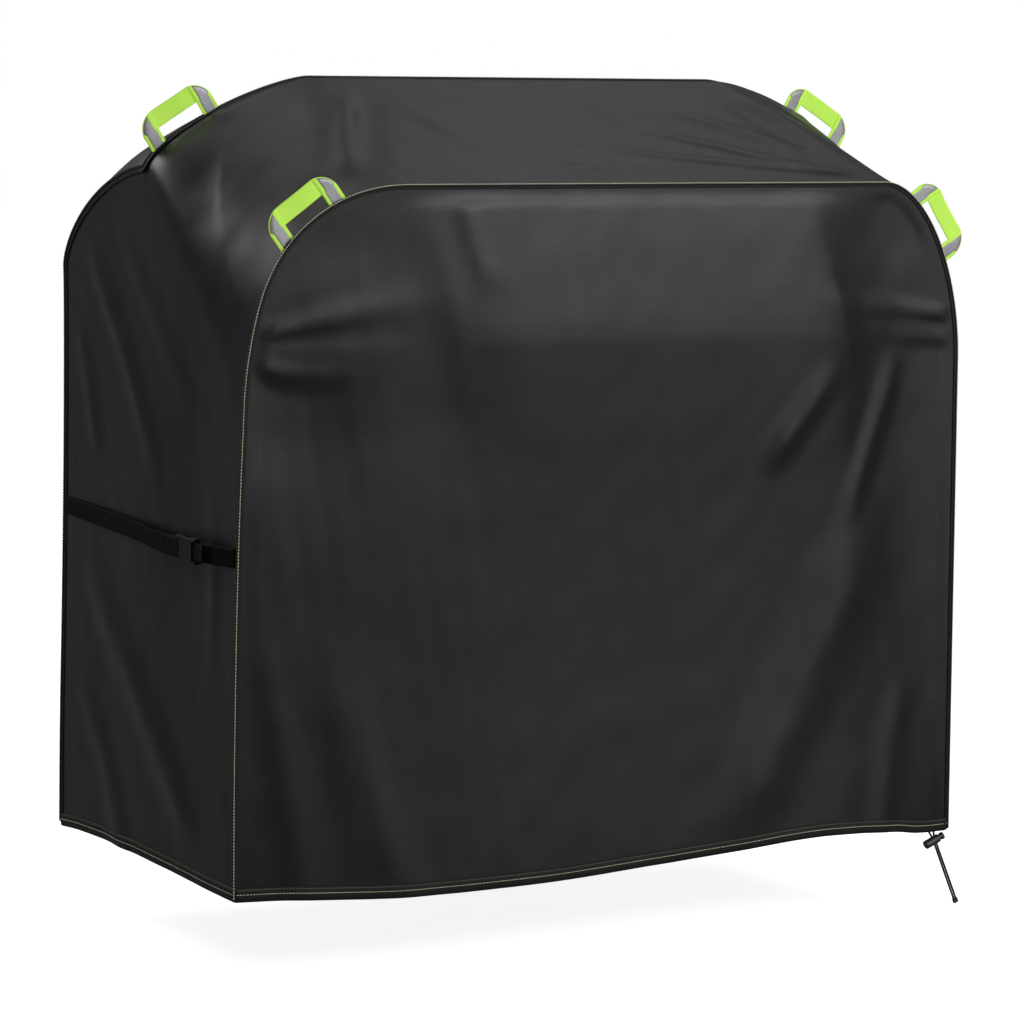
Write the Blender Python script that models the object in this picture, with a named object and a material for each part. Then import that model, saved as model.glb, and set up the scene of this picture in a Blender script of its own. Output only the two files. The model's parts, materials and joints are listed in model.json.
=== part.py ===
"""Fitted fabric grill cover with grab handles, side straps and a hem drawcord, in metres.

The cover is modelled as it stands over a grill. X runs along its width, the front faces -Y.
The origin lies on the underside of the flat ridge, where the grill's lid carries the cover.
Heights in the constants are measured up from the hem, and at() turns them into world places.
"""
from math import asin, cos, pi, sin, sqrt

import bmesh
import bpy
from mathutils import Matrix, Vector

# Driving dimensions of the fabric body
WIDTH = 1.118
DEPTH = 0.600
HEIGHT = 1.065
FRONT_HEIGHT = 0.925
RIDGE_DEPTH = 0.295
RIDGE_FLAT = 0.034
CLOTH = 0.002
BACK_WALL_HEIGHT = 0.800

# Corner curves: width, height and roundness of each superellipse quarter
FRONT_LEFT_CORNER = (0.250, 0.300, 2.15)
FRONT_RIGHT_CORNER = (0.125, 0.245, 1.9)
RIDGE_CORNER = (0.240, 0.120, 1.35)
BACK_SLOPE_ROUNDNESS = 1.55
CORNER_STEPS = 12
SLOPE_STEPS = 8

# Seams, hem and drawcord
PIPING_RADIUS = 0.0025
GAP = 0.0004
SEAM_INSET = PIPING_RADIUS + GAP
SEAM_DEPTH = 0.001
SPLIT_GAP = 0.0014
HEM_HEIGHT = 0.026
HEM_WALL = 0.001
HEM_SLOT = 0.005
HEM_CORNER_RADIUS = 0.005
PANEL_FOOT = 0.007
CORD_RADIUS = 0.0015
CORD_LEVEL = 0.0032
CORD_EXIT = Vector((1.0915, 0.001, 0.0))
CORD_SLOT = (0.022, 0.0042)
CORD_START = 0.017
SLOT_GUIDE_HEIGHT = 0.006

# Cord lock on the tails, which hang at a slant from the hem
TAIL_DIRECTION = Vector((0.39, 0.0, -0.92)).normalized()
TAIL_SPACING = 0.0018
LOCK_DISTANCE = 0.0150
LOCK_RADIUS = 0.0062
LOCK_LENGTH = 0.024
LOCK_WALL = 0.0016
BUTTON_RADIUS = 0.0042
BUTTON_HEAD_RADIUS = 0.0052
BUTTON_HEAD_LENGTH = 0.0037
BUTTON_TRAVEL = 0.004
BUTTON_STAND_OFF = 0.0006
BUTTON_FOOT = 0.0030
CLOSED_SHARE = 0.68
BORE_OVERRUN = 0.004
CORD_HOLE_LENGTH = 0.03
WELD = 0.0003
SPRING_WIRE = 0.0003
SPRING_RADIUS = 0.0030
SPRING_TURNS = 3.5
TAIL_LENGTH = 0.110
TAIL_BEND = 0.0050
TAIL_BEND_SPREAD = 1.5
TAIL_LEAD = Vector((0.009, 0.0, 0.0004))
END_CLIP_SIZE = (0.0076, 0.0042, 0.007)

# Webbing, handles and side straps
WEBBING = 0.025
WEBBING_THICK = 0.0016
HANDLE_LENGTH = 0.115
HANDLE_REACH = 0.049
HANDLE_LIFT = 0.009
HANDLE_FEET = {"front_left": 0.068, "front_right": 1.034, "back_left": 0.013, "back_right": 1.005}
TAPE_WIDTH = 0.015
TAPE_THICK = 0.0004
TAPE_START = 0.001
TAPE_FOLD_GAP = 0.006
STRAP_LEVEL = 0.447
STRAP_OFFSET = 0.0095
STRAP_BACK_RISE = 0.014
STRAP_SEWN_OUT = 0.0016
STRAP_FRONT_SEW = 0.010
STRAP_BACK_SEW = DEPTH - 0.008
FRONT_TAIL = 0.030
BACK_TAIL = 0.058

# Side-release buckles: sizes are thickness, length along the strap, and height
BUCKLE_FRONT = 0.096
FEMALE_SIZE = (0.0106, 0.043, 0.034)
FEMALE_SOFTNESS = 0.0022
FEMALE_BAR = BUCKLE_FRONT + 0.0060
SOCKET_SIZE = (0.0062, 0.032, 0.0268)
WINDOW_REACH = 0.0228
MALE_FRONT = BUCKLE_FRONT + FEMALE_SIZE[1] + 0.0006
MALE_BASE = (0.0076, 0.022, 0.034)
MALE_SOFTNESS = 0.0020
MALE_BAR = MALE_FRONT + MALE_BASE[1] - 0.0080
TONGUE_SIZE = (0.0030, 0.024, 0.0056)
TONGUE_ROOT = 0.003
GUIDE_OVERRUN = 0.01
BAR_HALF = 0.0012
LOOP_RADIUS = BAR_HALF * sqrt(2) + GAP + WEBBING_THICK / 2
SLOT_REACH = LOOP_RADIUS + WEBBING_THICK / 2 + GAP

# Buckle arms: a slim root, a catch that bulges into the window, and a tapered tip
ARM_DEPTH = 0.0044
ARM_THICK = 0.0036
ARM_ROOT = SOCKET_SIZE[2] / 2 - ARM_THICK - 0.0016
ARM_SHOULDER = SOCKET_SIZE[2] / 2 - 0.0016
ARM_CATCH = SOCKET_SIZE[2] / 2 + 0.0022
ARM_TIP = SOCKET_SIZE[2] / 2 - 0.0030
ARM_PROFILE = (
    (GAP, ARM_ROOT), (GAP, ARM_ROOT + ARM_THICK), (0.010, ARM_SHOULDER), (0.012, ARM_CATCH),
    (0.019, ARM_CATCH), (0.026, ARM_TIP), (0.026, ARM_TIP - ARM_THICK * 0.6),
    (0.014, SOCKET_SIZE[2] / 2 - ARM_THICK - 0.001))


def at(x, y, z):
    """World place of a point measured from the left, the front and the hem."""
    return Vector((x - WIDTH / 2, y - RIDGE_DEPTH + RIDGE_FLAT / 2, z - HEIGHT + CLOTH))


def clear_scene():
    for obj in list(bpy.data.objects):
        bpy.data.objects.remove(obj, do_unlink=True)


def material(name, colour, roughness, metallic=0.0):
    mat = bpy.data.materials.new(name)
    mat.use_nodes = True
    shader = mat.node_tree.nodes["Principled BSDF"]
    shader.inputs["Base Color"].default_value = (*colour, 1.0)
    shader.inputs["Roughness"].default_value = roughness
    shader.inputs["Metallic"].default_value = metallic
    return mat


def add_object(name, data, mat):
    obj = bpy.data.objects.new(name, data)
    data.materials.append(mat)
    bpy.context.collection.objects.link(obj)
    return obj


def mesh_from(bm, name):
    bmesh.ops.recalc_face_normals(bm, faces=bm.faces)
    mesh = bpy.data.meshes.new(name)
    bm.to_mesh(mesh)
    bm.free()
    return mesh


# ---- Shape helpers ----

def corner_curve(size, base, steps=CORNER_STEPS):
    """Points (x, z) of a superellipse quarter, from the wall's top to the level top."""
    width, height, roundness = size
    points = []
    for i in range(steps + 1):
        angle = pi / 2 * i / steps
        inward = width * (1 - cos(angle) ** (2 / roundness))
        points.append((inward, base + height * sin(angle) ** (2 / roundness)))
    return points


def front_outline(inset=0.0):
    """The front panel's top outline from the left wall to the right wall, as (x, z)."""
    left = corner_curve(FRONT_LEFT_CORNER, FRONT_HEIGHT - FRONT_LEFT_CORNER[1])
    right = corner_curve(FRONT_RIGHT_CORNER, FRONT_HEIGHT - FRONT_RIGHT_CORNER[1])
    line = left + [(WIDTH - x, z) for x, z in reversed(right)]
    return inset_line(line, inset)


def ridge_outline(inset=0.0):
    """The cover's top outline at its ridge, with as many points as the front outline."""
    left = corner_curve(RIDGE_CORNER, HEIGHT - RIDGE_CORNER[1])
    line = left + [(WIDTH - x, z) for x, z in reversed(left)]
    return inset_line(line, inset)


def inset_line(line, inset):
    """Move each point of a convex line inward, square to the chord of its neighbours."""
    moved = []
    for i, (x, z) in enumerate(line):
        before = Vector(line[max(i - 1, 0)])
        after = Vector(line[min(i + 1, len(line) - 1)])
        along = (after - before).normalized()
        if i in (0, len(line) - 1):
            along = Vector((0.0, 1.0 if i == 0 else -1.0))
        moved.append((x + along.y * inset, z - along.x * inset))
    return moved


def back_slope(x, top, share):
    """Point on the rear slope at x: share 0 is the ridge seam, 1 the back wall's top."""
    angle = pi / 2 * share
    reach = (DEPTH - RIDGE_DEPTH) * sin(angle) ** (2 / BACK_SLOPE_ROUNDNESS)
    rise = (top - BACK_WALL_HEIGHT) * cos(angle) ** (2 / BACK_SLOPE_ROUNDNESS)
    return (x, RIDGE_DEPTH + reach, BACK_WALL_HEIGHT + rise)


def sheet(name, rows, mat, thickness=CLOTH):
    """A closed cloth body under a grid of points that lie on its outer face."""
    bm = bmesh.new()
    grid = [[bm.verts.new(at(*point)) for point in row] for row in rows]
    for upper, lower in zip(grid, grid[1:]):
        for i in range(len(upper) - 1):
            bm.faces.new((upper[i], upper[i + 1], lower[i + 1], lower[i]))
    mesh = bpy.data.meshes.new(name)
    bm.to_mesh(mesh)
    bm.free()
    obj = add_object(name, mesh, mat)
    solid = obj.modifiers.new("Cloth thickness", 'SOLIDIFY')
    solid.thickness = thickness
    solid.offset = -1.0
    solid.use_even_offset = True
    return obj


def plate(name, outline, mat, depth):
    """A flat body: a closed outline of world points, extruded along the depth vector."""
    bm = bmesh.new()
    face = bm.faces.new([bm.verts.new(point) for point in outline])
    extruded = bmesh.ops.extrude_face_region(bm, geom=[face])["geom"]
    moved = [v for v in extruded if isinstance(v, bmesh.types.BMVert)]
    bmesh.ops.translate(bm, vec=depth, verts=moved)
    return add_object(name, mesh_from(bm, name), mat)


def tube(name, points, radius, mat, resolution=2, origin=None):
    """A round cord or rod along points, with filled ends."""
    curve = bpy.data.curves.new(name, 'CURVE')
    curve.dimensions = '3D'
    curve.bevel_depth = radius
    curve.bevel_resolution = resolution
    curve.use_fill_caps = True
    spline = curve.splines.new('POLY')
    spline.points.add(len(points) - 1)
    origin = Vector(origin) if origin else Vector()
    for target, point in zip(spline.points, points):
        target.co = (*(Vector(point) - origin), 1.0)
    obj = add_object(name, curve, mat)
    obj.location = origin
    return obj


def smooth_route(route, count):
    """Evenly read points of the Catmull-Rom curve through the route's own points."""
    padded = [2 * route[0] - route[1]] + list(route) + [2 * route[-1] - route[-2]]
    points = []
    spans = len(route) - 1
    for i in range(count + 1):
        place = min(i / count * spans, spans - 1e-9)
        k = int(place)
        t = place - k
        a, b, c, d = padded[k:k + 4]
        bend = 2 * b + (c - a) * t + (2 * a - 5 * b + 4 * c - d) * t ** 2
        points.append((bend + (3 * b - a - 3 * c + d) * t ** 3) / 2)
    return points


def box(name, low, high, mat):
    """An axis-aligned block between two world corners, centred on its own origin."""
    low = Vector(low)
    high = Vector(high)
    bm = bmesh.new()
    bmesh.ops.create_cube(bm, size=1.0, matrix=Matrix.Diagonal((*(high - low), 1.0)))
    obj = add_object(name, mesh_from(bm, name), mat)
    obj.location = (low + high) / 2
    return obj


def cylinder(name, start, end, radius, mat, sides=24):
    start = Vector(start)
    end = Vector(end)
    axis = end - start
    turn = Vector((0, 0, 1)).rotation_difference(axis).to_matrix().to_4x4()
    bm = bmesh.new()
    bmesh.ops.create_cone(
        bm, cap_ends=True, segments=sides, radius1=radius, radius2=radius, depth=axis.length)
    bmesh.ops.transform(bm, matrix=turn, verts=bm.verts)
    obj = add_object(name, mesh_from(bm, name), mat)
    obj.location = (start + end) / 2
    return obj


def cut(target, cutter, operation='DIFFERENCE'):
    """Add a Boolean with a cutter that is a guide, left out of the model itself."""
    cutter.hide_render = True
    cutter.display_type = 'WIRE'
    change = target.modifiers.new(cutter.name, 'BOOLEAN')
    change.operation = operation
    change.object = cutter


def soften(obj, width, segments=2):
    bevel = obj.modifiers.new("Soft edges", 'BEVEL')
    bevel.width = width
    bevel.segments = segments
    bevel.limit_method = 'ANGLE'


def set_origin(obj, place):
    """Move a mesh object's origin to a joint's axis, leaving its shape in place."""
    place = Vector(place)
    obj.data.transform(Matrix.Translation(obj.location - place))
    obj.location = place


# ---- Fabric body ----

def make_front_panel(mat):
    outline = front_outline(SEAM_INSET)
    left = SEAM_INSET
    right = WIDTH - SEAM_INSET
    line = [(left, PANEL_FOOT)] + outline + [(right, PANEL_FOOT)]
    return plate("front_panel", [at(x, 0, z) for x, z in line], mat, Vector((0, CLOTH, 0)))


def wall_outline(corner):
    """A side wall's outline (y, z): front edge, rising top edge, rear slope, back edge."""
    front = SEAM_DEPTH + SEAM_INSET
    front_top = FRONT_HEIGHT - corner[1]
    ridge_top = HEIGHT - RIDGE_CORNER[1]
    climb = (ridge_top - front_top) / (RIDGE_DEPTH - RIDGE_FLAT)
    line = [(front, PANEL_FOOT), (front, front_top + climb * front - SPLIT_GAP)]
    line.append((RIDGE_DEPTH - RIDGE_FLAT, ridge_top - SPLIT_GAP))
    line.append((RIDGE_DEPTH - SEAM_INSET, ridge_top - SPLIT_GAP))
    line.append((RIDGE_DEPTH - SEAM_INSET, ridge_top - SEAM_INSET))
    seam = [back_slope(0, ridge_top, i / SLOPE_STEPS)[1:] for i in range(SLOPE_STEPS + 1)]
    line += inset_line(seam, SEAM_INSET)[1:]
    line.append((DEPTH - SEAM_INSET, PANEL_FOOT))
    return line


def make_side_walls(mat):
    for side, corner in (("left", FRONT_LEFT_CORNER), ("right", FRONT_RIGHT_CORNER)):
        x = 0.0 if side == "left" else WIDTH
        inward = CLOTH if side == "left" else -CLOTH
        outline = [at(x, y, z) for y, z in wall_outline(corner)]
        plate(f"{side}_side_wall", outline, mat, Vector((inward, 0, 0)))


def make_roof(mat):
    """The strip's top length: from the front seam up to the level ridge and its seam."""
    front = front_outline()
    ridge = ridge_outline()
    rows = []
    start = SEAM_DEPTH + SEAM_INSET
    flat_start = RIDGE_DEPTH - RIDGE_FLAT
    for y in (start, flat_start / 2, flat_start, RIDGE_DEPTH - SEAM_INSET):
        share = min(y / flat_start, 1.0)
        row = [
            (fx + (rx - fx) * share, y, fz + (rz - fz) * share)
            for (fx, fz), (rx, rz) in zip(front, ridge)
        ]
        rows.append(row)
    return sheet("roof_panel", rows, mat)


def make_back(mat):
    """The back panel's upright wall and the slope that climbs from it to the ridge seam."""
    low = [at(x, DEPTH, PANEL_FOOT) for x in (SEAM_INSET, WIDTH - SEAM_INSET)]
    top = BACK_WALL_HEIGHT - CLOTH / 2
    high = [at(x, DEPTH, top) for x in (WIDTH - SEAM_INSET, SEAM_INSET)]
    plate("back_wall", low + high, mat, Vector((0, -CLOTH, 0)))
    ridge = ridge_outline()
    behind_seam = SEAM_INSET / (DEPTH - RIDGE_DEPTH)
    first = asin(behind_seam ** (BACK_SLOPE_ROUNDNESS / 2)) / (pi / 2)
    rows = []
    for i in range(SLOPE_STEPS + 1):
        place = first + (1 - first) * i / SLOPE_STEPS
        rows.append([back_slope(*keep_inside(x, z), place) for x, z in ridge])
    return sheet("back_slope", rows, mat)


def keep_inside(x, z):
    """Hold the rear slope's side edges clear of the side walls and their piping."""
    return min(max(x, SEAM_INSET + CLOTH), WIDTH - SEAM_INSET - CLOTH), z


def make_front_piping(mat):
    outline = [(0, HEM_HEIGHT + GAP)] + front_outline() + [(WIDTH, HEM_HEIGHT + GAP)]
    points = [at(x, SEAM_DEPTH, z) for x, z in outline]
    return tube("front_seam_piping", points, PIPING_RADIUS, mat)


def make_back_piping(mat):
    """Up the back edge, forward along the side wall's top, over the ridge and down again."""
    ridge_top = HEIGHT - RIDGE_CORNER[1]
    rise = [(0.0, DEPTH, HEM_HEIGHT + GAP), (0.0, DEPTH, BACK_WALL_HEIGHT)]
    rise += [back_slope(0.0, ridge_top, 1 - i / SLOPE_STEPS) for i in range(1, SLOPE_STEPS)]
    over = [(x, RIDGE_DEPTH, z) for x, z in ridge_outline()]
    fall = [(WIDTH - x, y, z) for x, y, z in reversed(rise)]
    points = [at(*point) for point in rise + over + fall]
    return tube("back_seam_piping", points, PIPING_RADIUS, mat)


# ---- Hem, drawcord and cord lock ----

def hem_path(offset):
    """The hem's rounded rectangle, a constant distance inside the panels' outer faces."""
    radius = HEM_CORNER_RADIUS
    centres = [
        (WIDTH - radius, radius, -pi / 2), (WIDTH - radius, DEPTH - radius, 0.0),
        (radius, DEPTH - radius, pi / 2), (radius, radius, pi),
    ]
    points = []
    for cx, cy, first in centres:
        for i in range(5):
            angle = first + pi / 2 * i / 4
            reach = radius - offset
            points.append((cx + reach * cos(angle), cy + reach * sin(angle)))
    return points


def make_hem(mat, guide):
    """A folded fabric channel, open upward, that takes the panels and the drawcord."""
    half = HEM_SLOT / 2 + HEM_WALL
    middle = CLOTH / 2
    section = [
        (middle - half, 0.0), (middle + half, 0.0), (middle + half, HEM_HEIGHT),
        (middle + half - HEM_WALL, HEM_HEIGHT), (middle + half - HEM_WALL, HEM_WALL),
        (middle - half + HEM_WALL, HEM_WALL), (middle - half + HEM_WALL, HEM_HEIGHT),
        (middle - half, HEM_HEIGHT),
    ]
    bm = bmesh.new()
    rings = []
    for offset, z in section:
        rings.append([bm.verts.new(at(x, y, z)) for x, y in hem_path(offset)])
    count = len(rings[0])
    for i, ring in enumerate(rings):
        following = rings[(i + 1) % len(rings)]
        for k in range(count):
            after = (k + 1) % count
            bm.faces.new((ring[k], ring[after], following[after], following[k]))
    hem = add_object("hem_channel", mesh_from(bm, "hem_channel"), mat)
    half_slot = Vector((*CORD_SLOT, SLOT_GUIDE_HEIGHT)) / 2
    centre = at(*CORD_EXIT)
    cut(hem, box("cord_slot_guide", centre - half_slot, centre + half_slot, guide))


def cord_start(side):
    """Where a tail begins inside the hem, level, beside the slot."""
    return at(*CORD_EXIT) + Vector((side * CORD_START, 0.0, CORD_LEVEL))


def make_drawcord(mat):
    """The cord held in the hem, all the way round from one tail to the other."""
    ring = [at(x, y, CORD_LEVEL) for x, y in hem_path(CLOTH / 2)]
    apart = Vector((2 * GAP, 0, 0))
    points = [cord_start(1) + apart] + ring + [cord_start(-1) - apart]
    return tube("drawcord", points, CORD_RADIUS, mat)


def tail_line(side, distance, spread=1.0):
    """A point on a tail's straight stretch, a distance from the cord exit."""
    across = Vector((-TAIL_DIRECTION.z, 0.0, TAIL_DIRECTION.x))
    return at(*CORD_EXIT) + TAIL_DIRECTION * distance + across * side * spread * TAIL_SPACING


def tail_route(side):
    """A tail's own points: level in the hem, down through the slot, then the slant."""
    start = cord_start(side)
    lead = start - Vector((side * TAIL_LEAD.x, 0.0, TAIL_LEAD.z))
    bend = tail_line(side, TAIL_BEND, TAIL_BEND_SPREAD)
    straight = [tail_line(side, share * TAIL_LENGTH) for share in (0.18, 0.6, 1.0)]
    return [start, lead, bend] + straight


def make_tails(mat, clip_mat):
    for name, side in (("cord_tail_front", -1), ("cord_tail_corner", 1)):
        tube(name, smooth_route(tail_route(side), 30), CORD_RADIUS, mat)
    start = (tail_line(-1, TAIL_LENGTH + GAP) + tail_line(1, TAIL_LENGTH + GAP)) / 2
    clip = lock_block("cord_end_clip", clip_mat, END_CLIP_SIZE)
    clip.location = start + TAIL_DIRECTION * END_CLIP_SIZE[2] / 2
    soften(clip, 0.0006, 1)


def lock_turn():
    """Rotation that sets local X along the lock's barrel and local Z up the cord."""
    across = Vector((-TAIL_DIRECTION.z, 0.0, TAIL_DIRECTION.x))
    columns = (across, Vector((0, 1, 0)), -TAIL_DIRECTION)
    return Matrix(columns).transposed().to_4x4()


def lock_block(name, mat, size):
    """A block turned with the lock, its origin at its centre."""
    bm = bmesh.new()
    bmesh.ops.create_cube(bm, size=1.0, matrix=Matrix.Diagonal((*size, 1.0)))
    bmesh.ops.transform(bm, matrix=lock_turn(), verts=bm.verts)
    return add_object(name, mesh_from(bm, name), mat)


def lock_place(along):
    """World place on the barrel's axis, along its length from where the cords cross it."""
    centre = at(*CORD_EXIT) + TAIL_DIRECTION * LOCK_DISTANCE
    return centre + lock_turn().to_3x3() @ Vector((along, 0.0, 0.0))


def make_cord_lock(mat, button_mat, spring_mat, guide):
    closed_end = -LOCK_LENGTH * CLOSED_SHARE
    open_end = closed_end + LOCK_LENGTH
    barrel = cylinder("cord_lock_barrel", lock_place(closed_end), lock_place(open_end),
                      LOCK_RADIUS, mat)
    soften(barrel, 0.0008)
    bore = cylinder("lock_bore_guide", lock_place(closed_end + LOCK_WALL),
                    lock_place(open_end + BORE_OVERRUN), BUTTON_RADIUS + GAP, guide)
    cut(barrel, bore)
    cord_hole = (2 * (TAIL_SPACING + CORD_RADIUS) + 2 * GAP, 2 * (CORD_RADIUS + GAP), CORD_HOLE_LENGTH)
    barrel_hole = lock_block("lock_cord_guide", guide, cord_hole)
    barrel_hole.location = lock_place(0.0)
    cut(barrel, barrel_hole)
    foot = -cord_hole[0] / 2 - BUTTON_FOOT
    head = open_end + BUTTON_TRAVEL + BUTTON_STAND_OFF
    button = cylinder("cord_lock_button", lock_place(foot), lock_place(head),
                      BUTTON_RADIUS, button_mat)
    cap_start = head - WELD
    cap = cylinder("button_cap_guide", lock_place(cap_start),
                   lock_place(cap_start + BUTTON_HEAD_LENGTH), BUTTON_HEAD_RADIUS, guide)
    cut(button, cap, 'UNION')
    long_hole = (cord_hole[0] + BUTTON_TRAVEL, cord_hole[1], cord_hole[2])
    button_hole = lock_block("button_cord_guide", guide, long_hole)
    button_hole.location = lock_place(BUTTON_TRAVEL / 2)
    cut(button, button_hole)
    make_spring(closed_end + LOCK_WALL, foot, spring_mat)


def make_spring(first, last, mat):
    """The button's coil spring, between the barrel's closed end and the button."""
    low = first + SPRING_WIRE + GAP
    high = last - SPRING_WIRE - GAP
    steps = int(SPRING_TURNS * 12)
    points = []
    for i in range(steps + 1):
        angle = 2 * pi * SPRING_TURNS * i / steps
        along = low + (high - low) * i / steps
        swing = Vector((0.0, cos(angle), sin(angle))) * SPRING_RADIUS
        points.append(lock_place(along) + lock_turn().to_3x3() @ swing)
    tube("cord_lock_spring", points, SPRING_WIRE, mat, resolution=1)


# ---- Handles ----

def chord_end(outline, start, length):
    """Where a chord of the given length, begun at a point of the outline, meets it again."""
    for a, b in zip(outline, outline[1:]):
        near = sqrt((a[0] - start[0]) ** 2 + (a[1] - start[1]) ** 2)
        far = sqrt((b[0] - start[0]) ** 2 + (b[1] - start[1]) ** 2)
        if near <= length < far and b[0] > start[0]:
            share = (length - near) / (far - near)
            return (a[0] + (b[0] - a[0]) * share, a[1] + (b[1] - a[1]) * share)
    raise ValueError("the outline is shorter than the handle")


def point_on(outline, x):
    for a, b in zip(outline, outline[1:]):
        if a[0] <= x <= b[0] and b[0] > a[0]:
            return (x, a[1] + (b[1] - a[1]) * (x - a[0]) / (b[0] - a[0]))
    raise ValueError("the outline doesn't reach this far")


def handle_frame(outline, foot_x, depth):
    """Origin on the hinge line, and the directions along it and out from the seam."""
    start = point_on(outline, foot_x)
    end = chord_end(outline, start, HANDLE_LENGTH)
    along = (at(end[0], depth, end[1]) - at(start[0], depth, start[1])).normalized()
    out = Vector((-along.z, 0.0, along.x))
    return at(start[0], depth, start[1]) + out * HANDLE_LIFT, along, out


def make_handle(name, outline, foot_x, depth, mats):
    """A folded webbing grip: two legs and a bar, chamfered where the webbing folds over."""
    webbing_mat, tape_mat = mats
    origin, along, out = handle_frame(outline, foot_x, depth)
    reach = HANDLE_REACH - HANDLE_LIFT
    inner = reach - WEBBING
    length = HANDLE_LENGTH
    shape = [
        (0, 0), (0, inner), (WEBBING, reach), (length - WEBBING, reach), (length, inner),
        (length, 0), (length - WEBBING, 0), (length - WEBBING, inner), (WEBBING, inner),
        (WEBBING, 0),
    ]
    thick = Vector((0, WEBBING_THICK, 0))
    outline_points = [origin + along * u + out * v - thick / 2 for u, v in shape]
    handle = plate(name, outline_points, webbing_mat, thick)
    set_origin(handle, origin + along * length / 2)
    margin = (WEBBING - TAPE_WIDTH) / 2
    front_face = Vector((0, -WEBBING_THICK / 2 - GAP, 0))
    for leg, side in (("lower", 0), ("upper", 1)):
        base = margin if side == 0 else length - margin - TAPE_WIDTH
        far = base + TAPE_WIDTH
        near_fold = inner + min(base, length - base) - TAPE_FOLD_GAP
        far_fold = inner + min(far, length - far) - TAPE_FOLD_GAP
        corners = [(base, TAPE_START), (far, TAPE_START), (far, far_fold), (base, near_fold)]
        points = [origin + along * u + out * v + front_face for u, v in corners]
        tape = plate(f"{name}_tape_{leg}", points, tape_mat, Vector((0, -TAPE_THICK, 0)))
        set_origin(tape, origin + along * length / 2)


def make_handles(webbing_mat, tape_mat):
    front = front_outline()
    ridge = ridge_outline()
    front_depth = SEAM_DEPTH + SEAM_INSET + WEBBING_THICK
    for name, foot_x in HANDLE_FEET.items():
        outline, depth = (front, front_depth) if "front" in name else (ridge, RIDGE_DEPTH)
        make_handle(f"handle_{name}", outline, foot_x, depth, (webbing_mat, tape_mat))


# ---- Side straps with side-release buckles ----

def strap_point(side, out, y, z):
    """A point beside a wall: out is measured away from it, y from the cover's front."""
    x = -out if side == "left" else WIDTH + out
    return at(x, y, z)


def ribbon(name, side, path, mat):
    """Webbing along a path of (out, y, z) for its centre line, upright on the wall."""
    bm = bmesh.new()
    pairs = []
    for out, y, z in path:
        low = bm.verts.new(strap_point(side, out, y, z - WEBBING / 2))
        high = bm.verts.new(strap_point(side, out, y, z + WEBBING / 2))
        pairs.append((low, high))
    for (a, b), (c, d) in zip(pairs, pairs[1:]):
        bm.faces.new((a, b, d, c))
    mesh = bpy.data.meshes.new(name)
    bm.to_mesh(mesh)
    bm.free()
    obj = add_object(name, mesh, mat)
    solid = obj.modifiers.new("Webbing thickness", 'SOLIDIFY')
    solid.thickness = WEBBING_THICK
    solid.offset = 0.0
    solid.use_even_offset = True
    return obj


def loop_path(bar_out, bar_y, forward, tail, level):
    """Webbing that comes to a bar, turns round it and runs back over itself."""
    radius = LOOP_RADIUS
    path = [(bar_out - radius, bar_y - forward * tail, level)]
    for i in range(9):
        angle = -pi / 2 + pi * i / 8
        turn = (bar_out + radius * sin(angle), bar_y + forward * radius * cos(angle), level)
        path.append(turn)
    path.append((bar_out + radius, bar_y - forward * tail, level))
    return path


def strap_box(name, side, outs, ys, height, mat):
    """A block beside a wall, centred on the strap's level; outs and ys are its limits."""
    a = strap_point(side, outs[0], ys[0], STRAP_LEVEL - height / 2)
    b = strap_point(side, outs[1], ys[1], STRAP_LEVEL + height / 2)
    low = Vector(min(p, q) for p, q in zip(a, b))
    high = Vector(max(p, q) for p, q in zip(a, b))
    return box(name, low, high, mat)


def around(centre, size):
    return (centre - size / 2, centre + size / 2)


def cut_webbing_slots(body, side, bar_y, first, last, guide):
    """Open a slot on each side of a webbing bar, from first to last, and thin the bar."""
    far = FEMALE_SIZE[0]
    both = around(STRAP_OFFSET, 2 * far)
    turn = around(bar_y, 2 * SLOT_REACH)
    limits = {
        "front": (both, (first, bar_y - BAR_HALF)),
        "rear": (both, (bar_y + BAR_HALF, last)),
        "inner": ((STRAP_OFFSET - far, STRAP_OFFSET - BAR_HALF), turn),
        "outer": ((STRAP_OFFSET + BAR_HALF, STRAP_OFFSET + far), turn),
    }
    for row, (outs, ys) in limits.items():
        name = f"{body.name}_{row}_slot_guide"
        cut(body, strap_box(name, side, outs, ys, WEBBING + 2 * GAP, guide))


def make_female(side, mat, guide):
    """The buckle's socket half: a flat box, open to the rear, with a webbing bar in front."""
    thick, length, height = FEMALE_SIZE
    rear = BUCKLE_FRONT + length
    body = strap_box(f"buckle_socket_{side}", side, around(STRAP_OFFSET, thick),
                     (BUCKLE_FRONT, rear), height, mat)
    soften(body, FEMALE_SOFTNESS)
    s_thick, s_length, s_height = SOCKET_SIZE
    opening = around(STRAP_OFFSET, s_thick)
    beyond = rear + GUIDE_OVERRUN
    cut(body, strap_box(f"socket_guide_{side}", side, opening, (rear - s_length, beyond),
                        s_height, guide))
    cut(body, strap_box(f"window_guide_{side}", side, opening,
                        (MALE_FRONT - WINDOW_REACH, beyond), 2 * height, guide))
    cut_webbing_slots(body, side, FEMALE_BAR, BUCKLE_FRONT - GUIDE_OVERRUN,
                      FEMALE_BAR + SLOT_REACH, guide)


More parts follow.
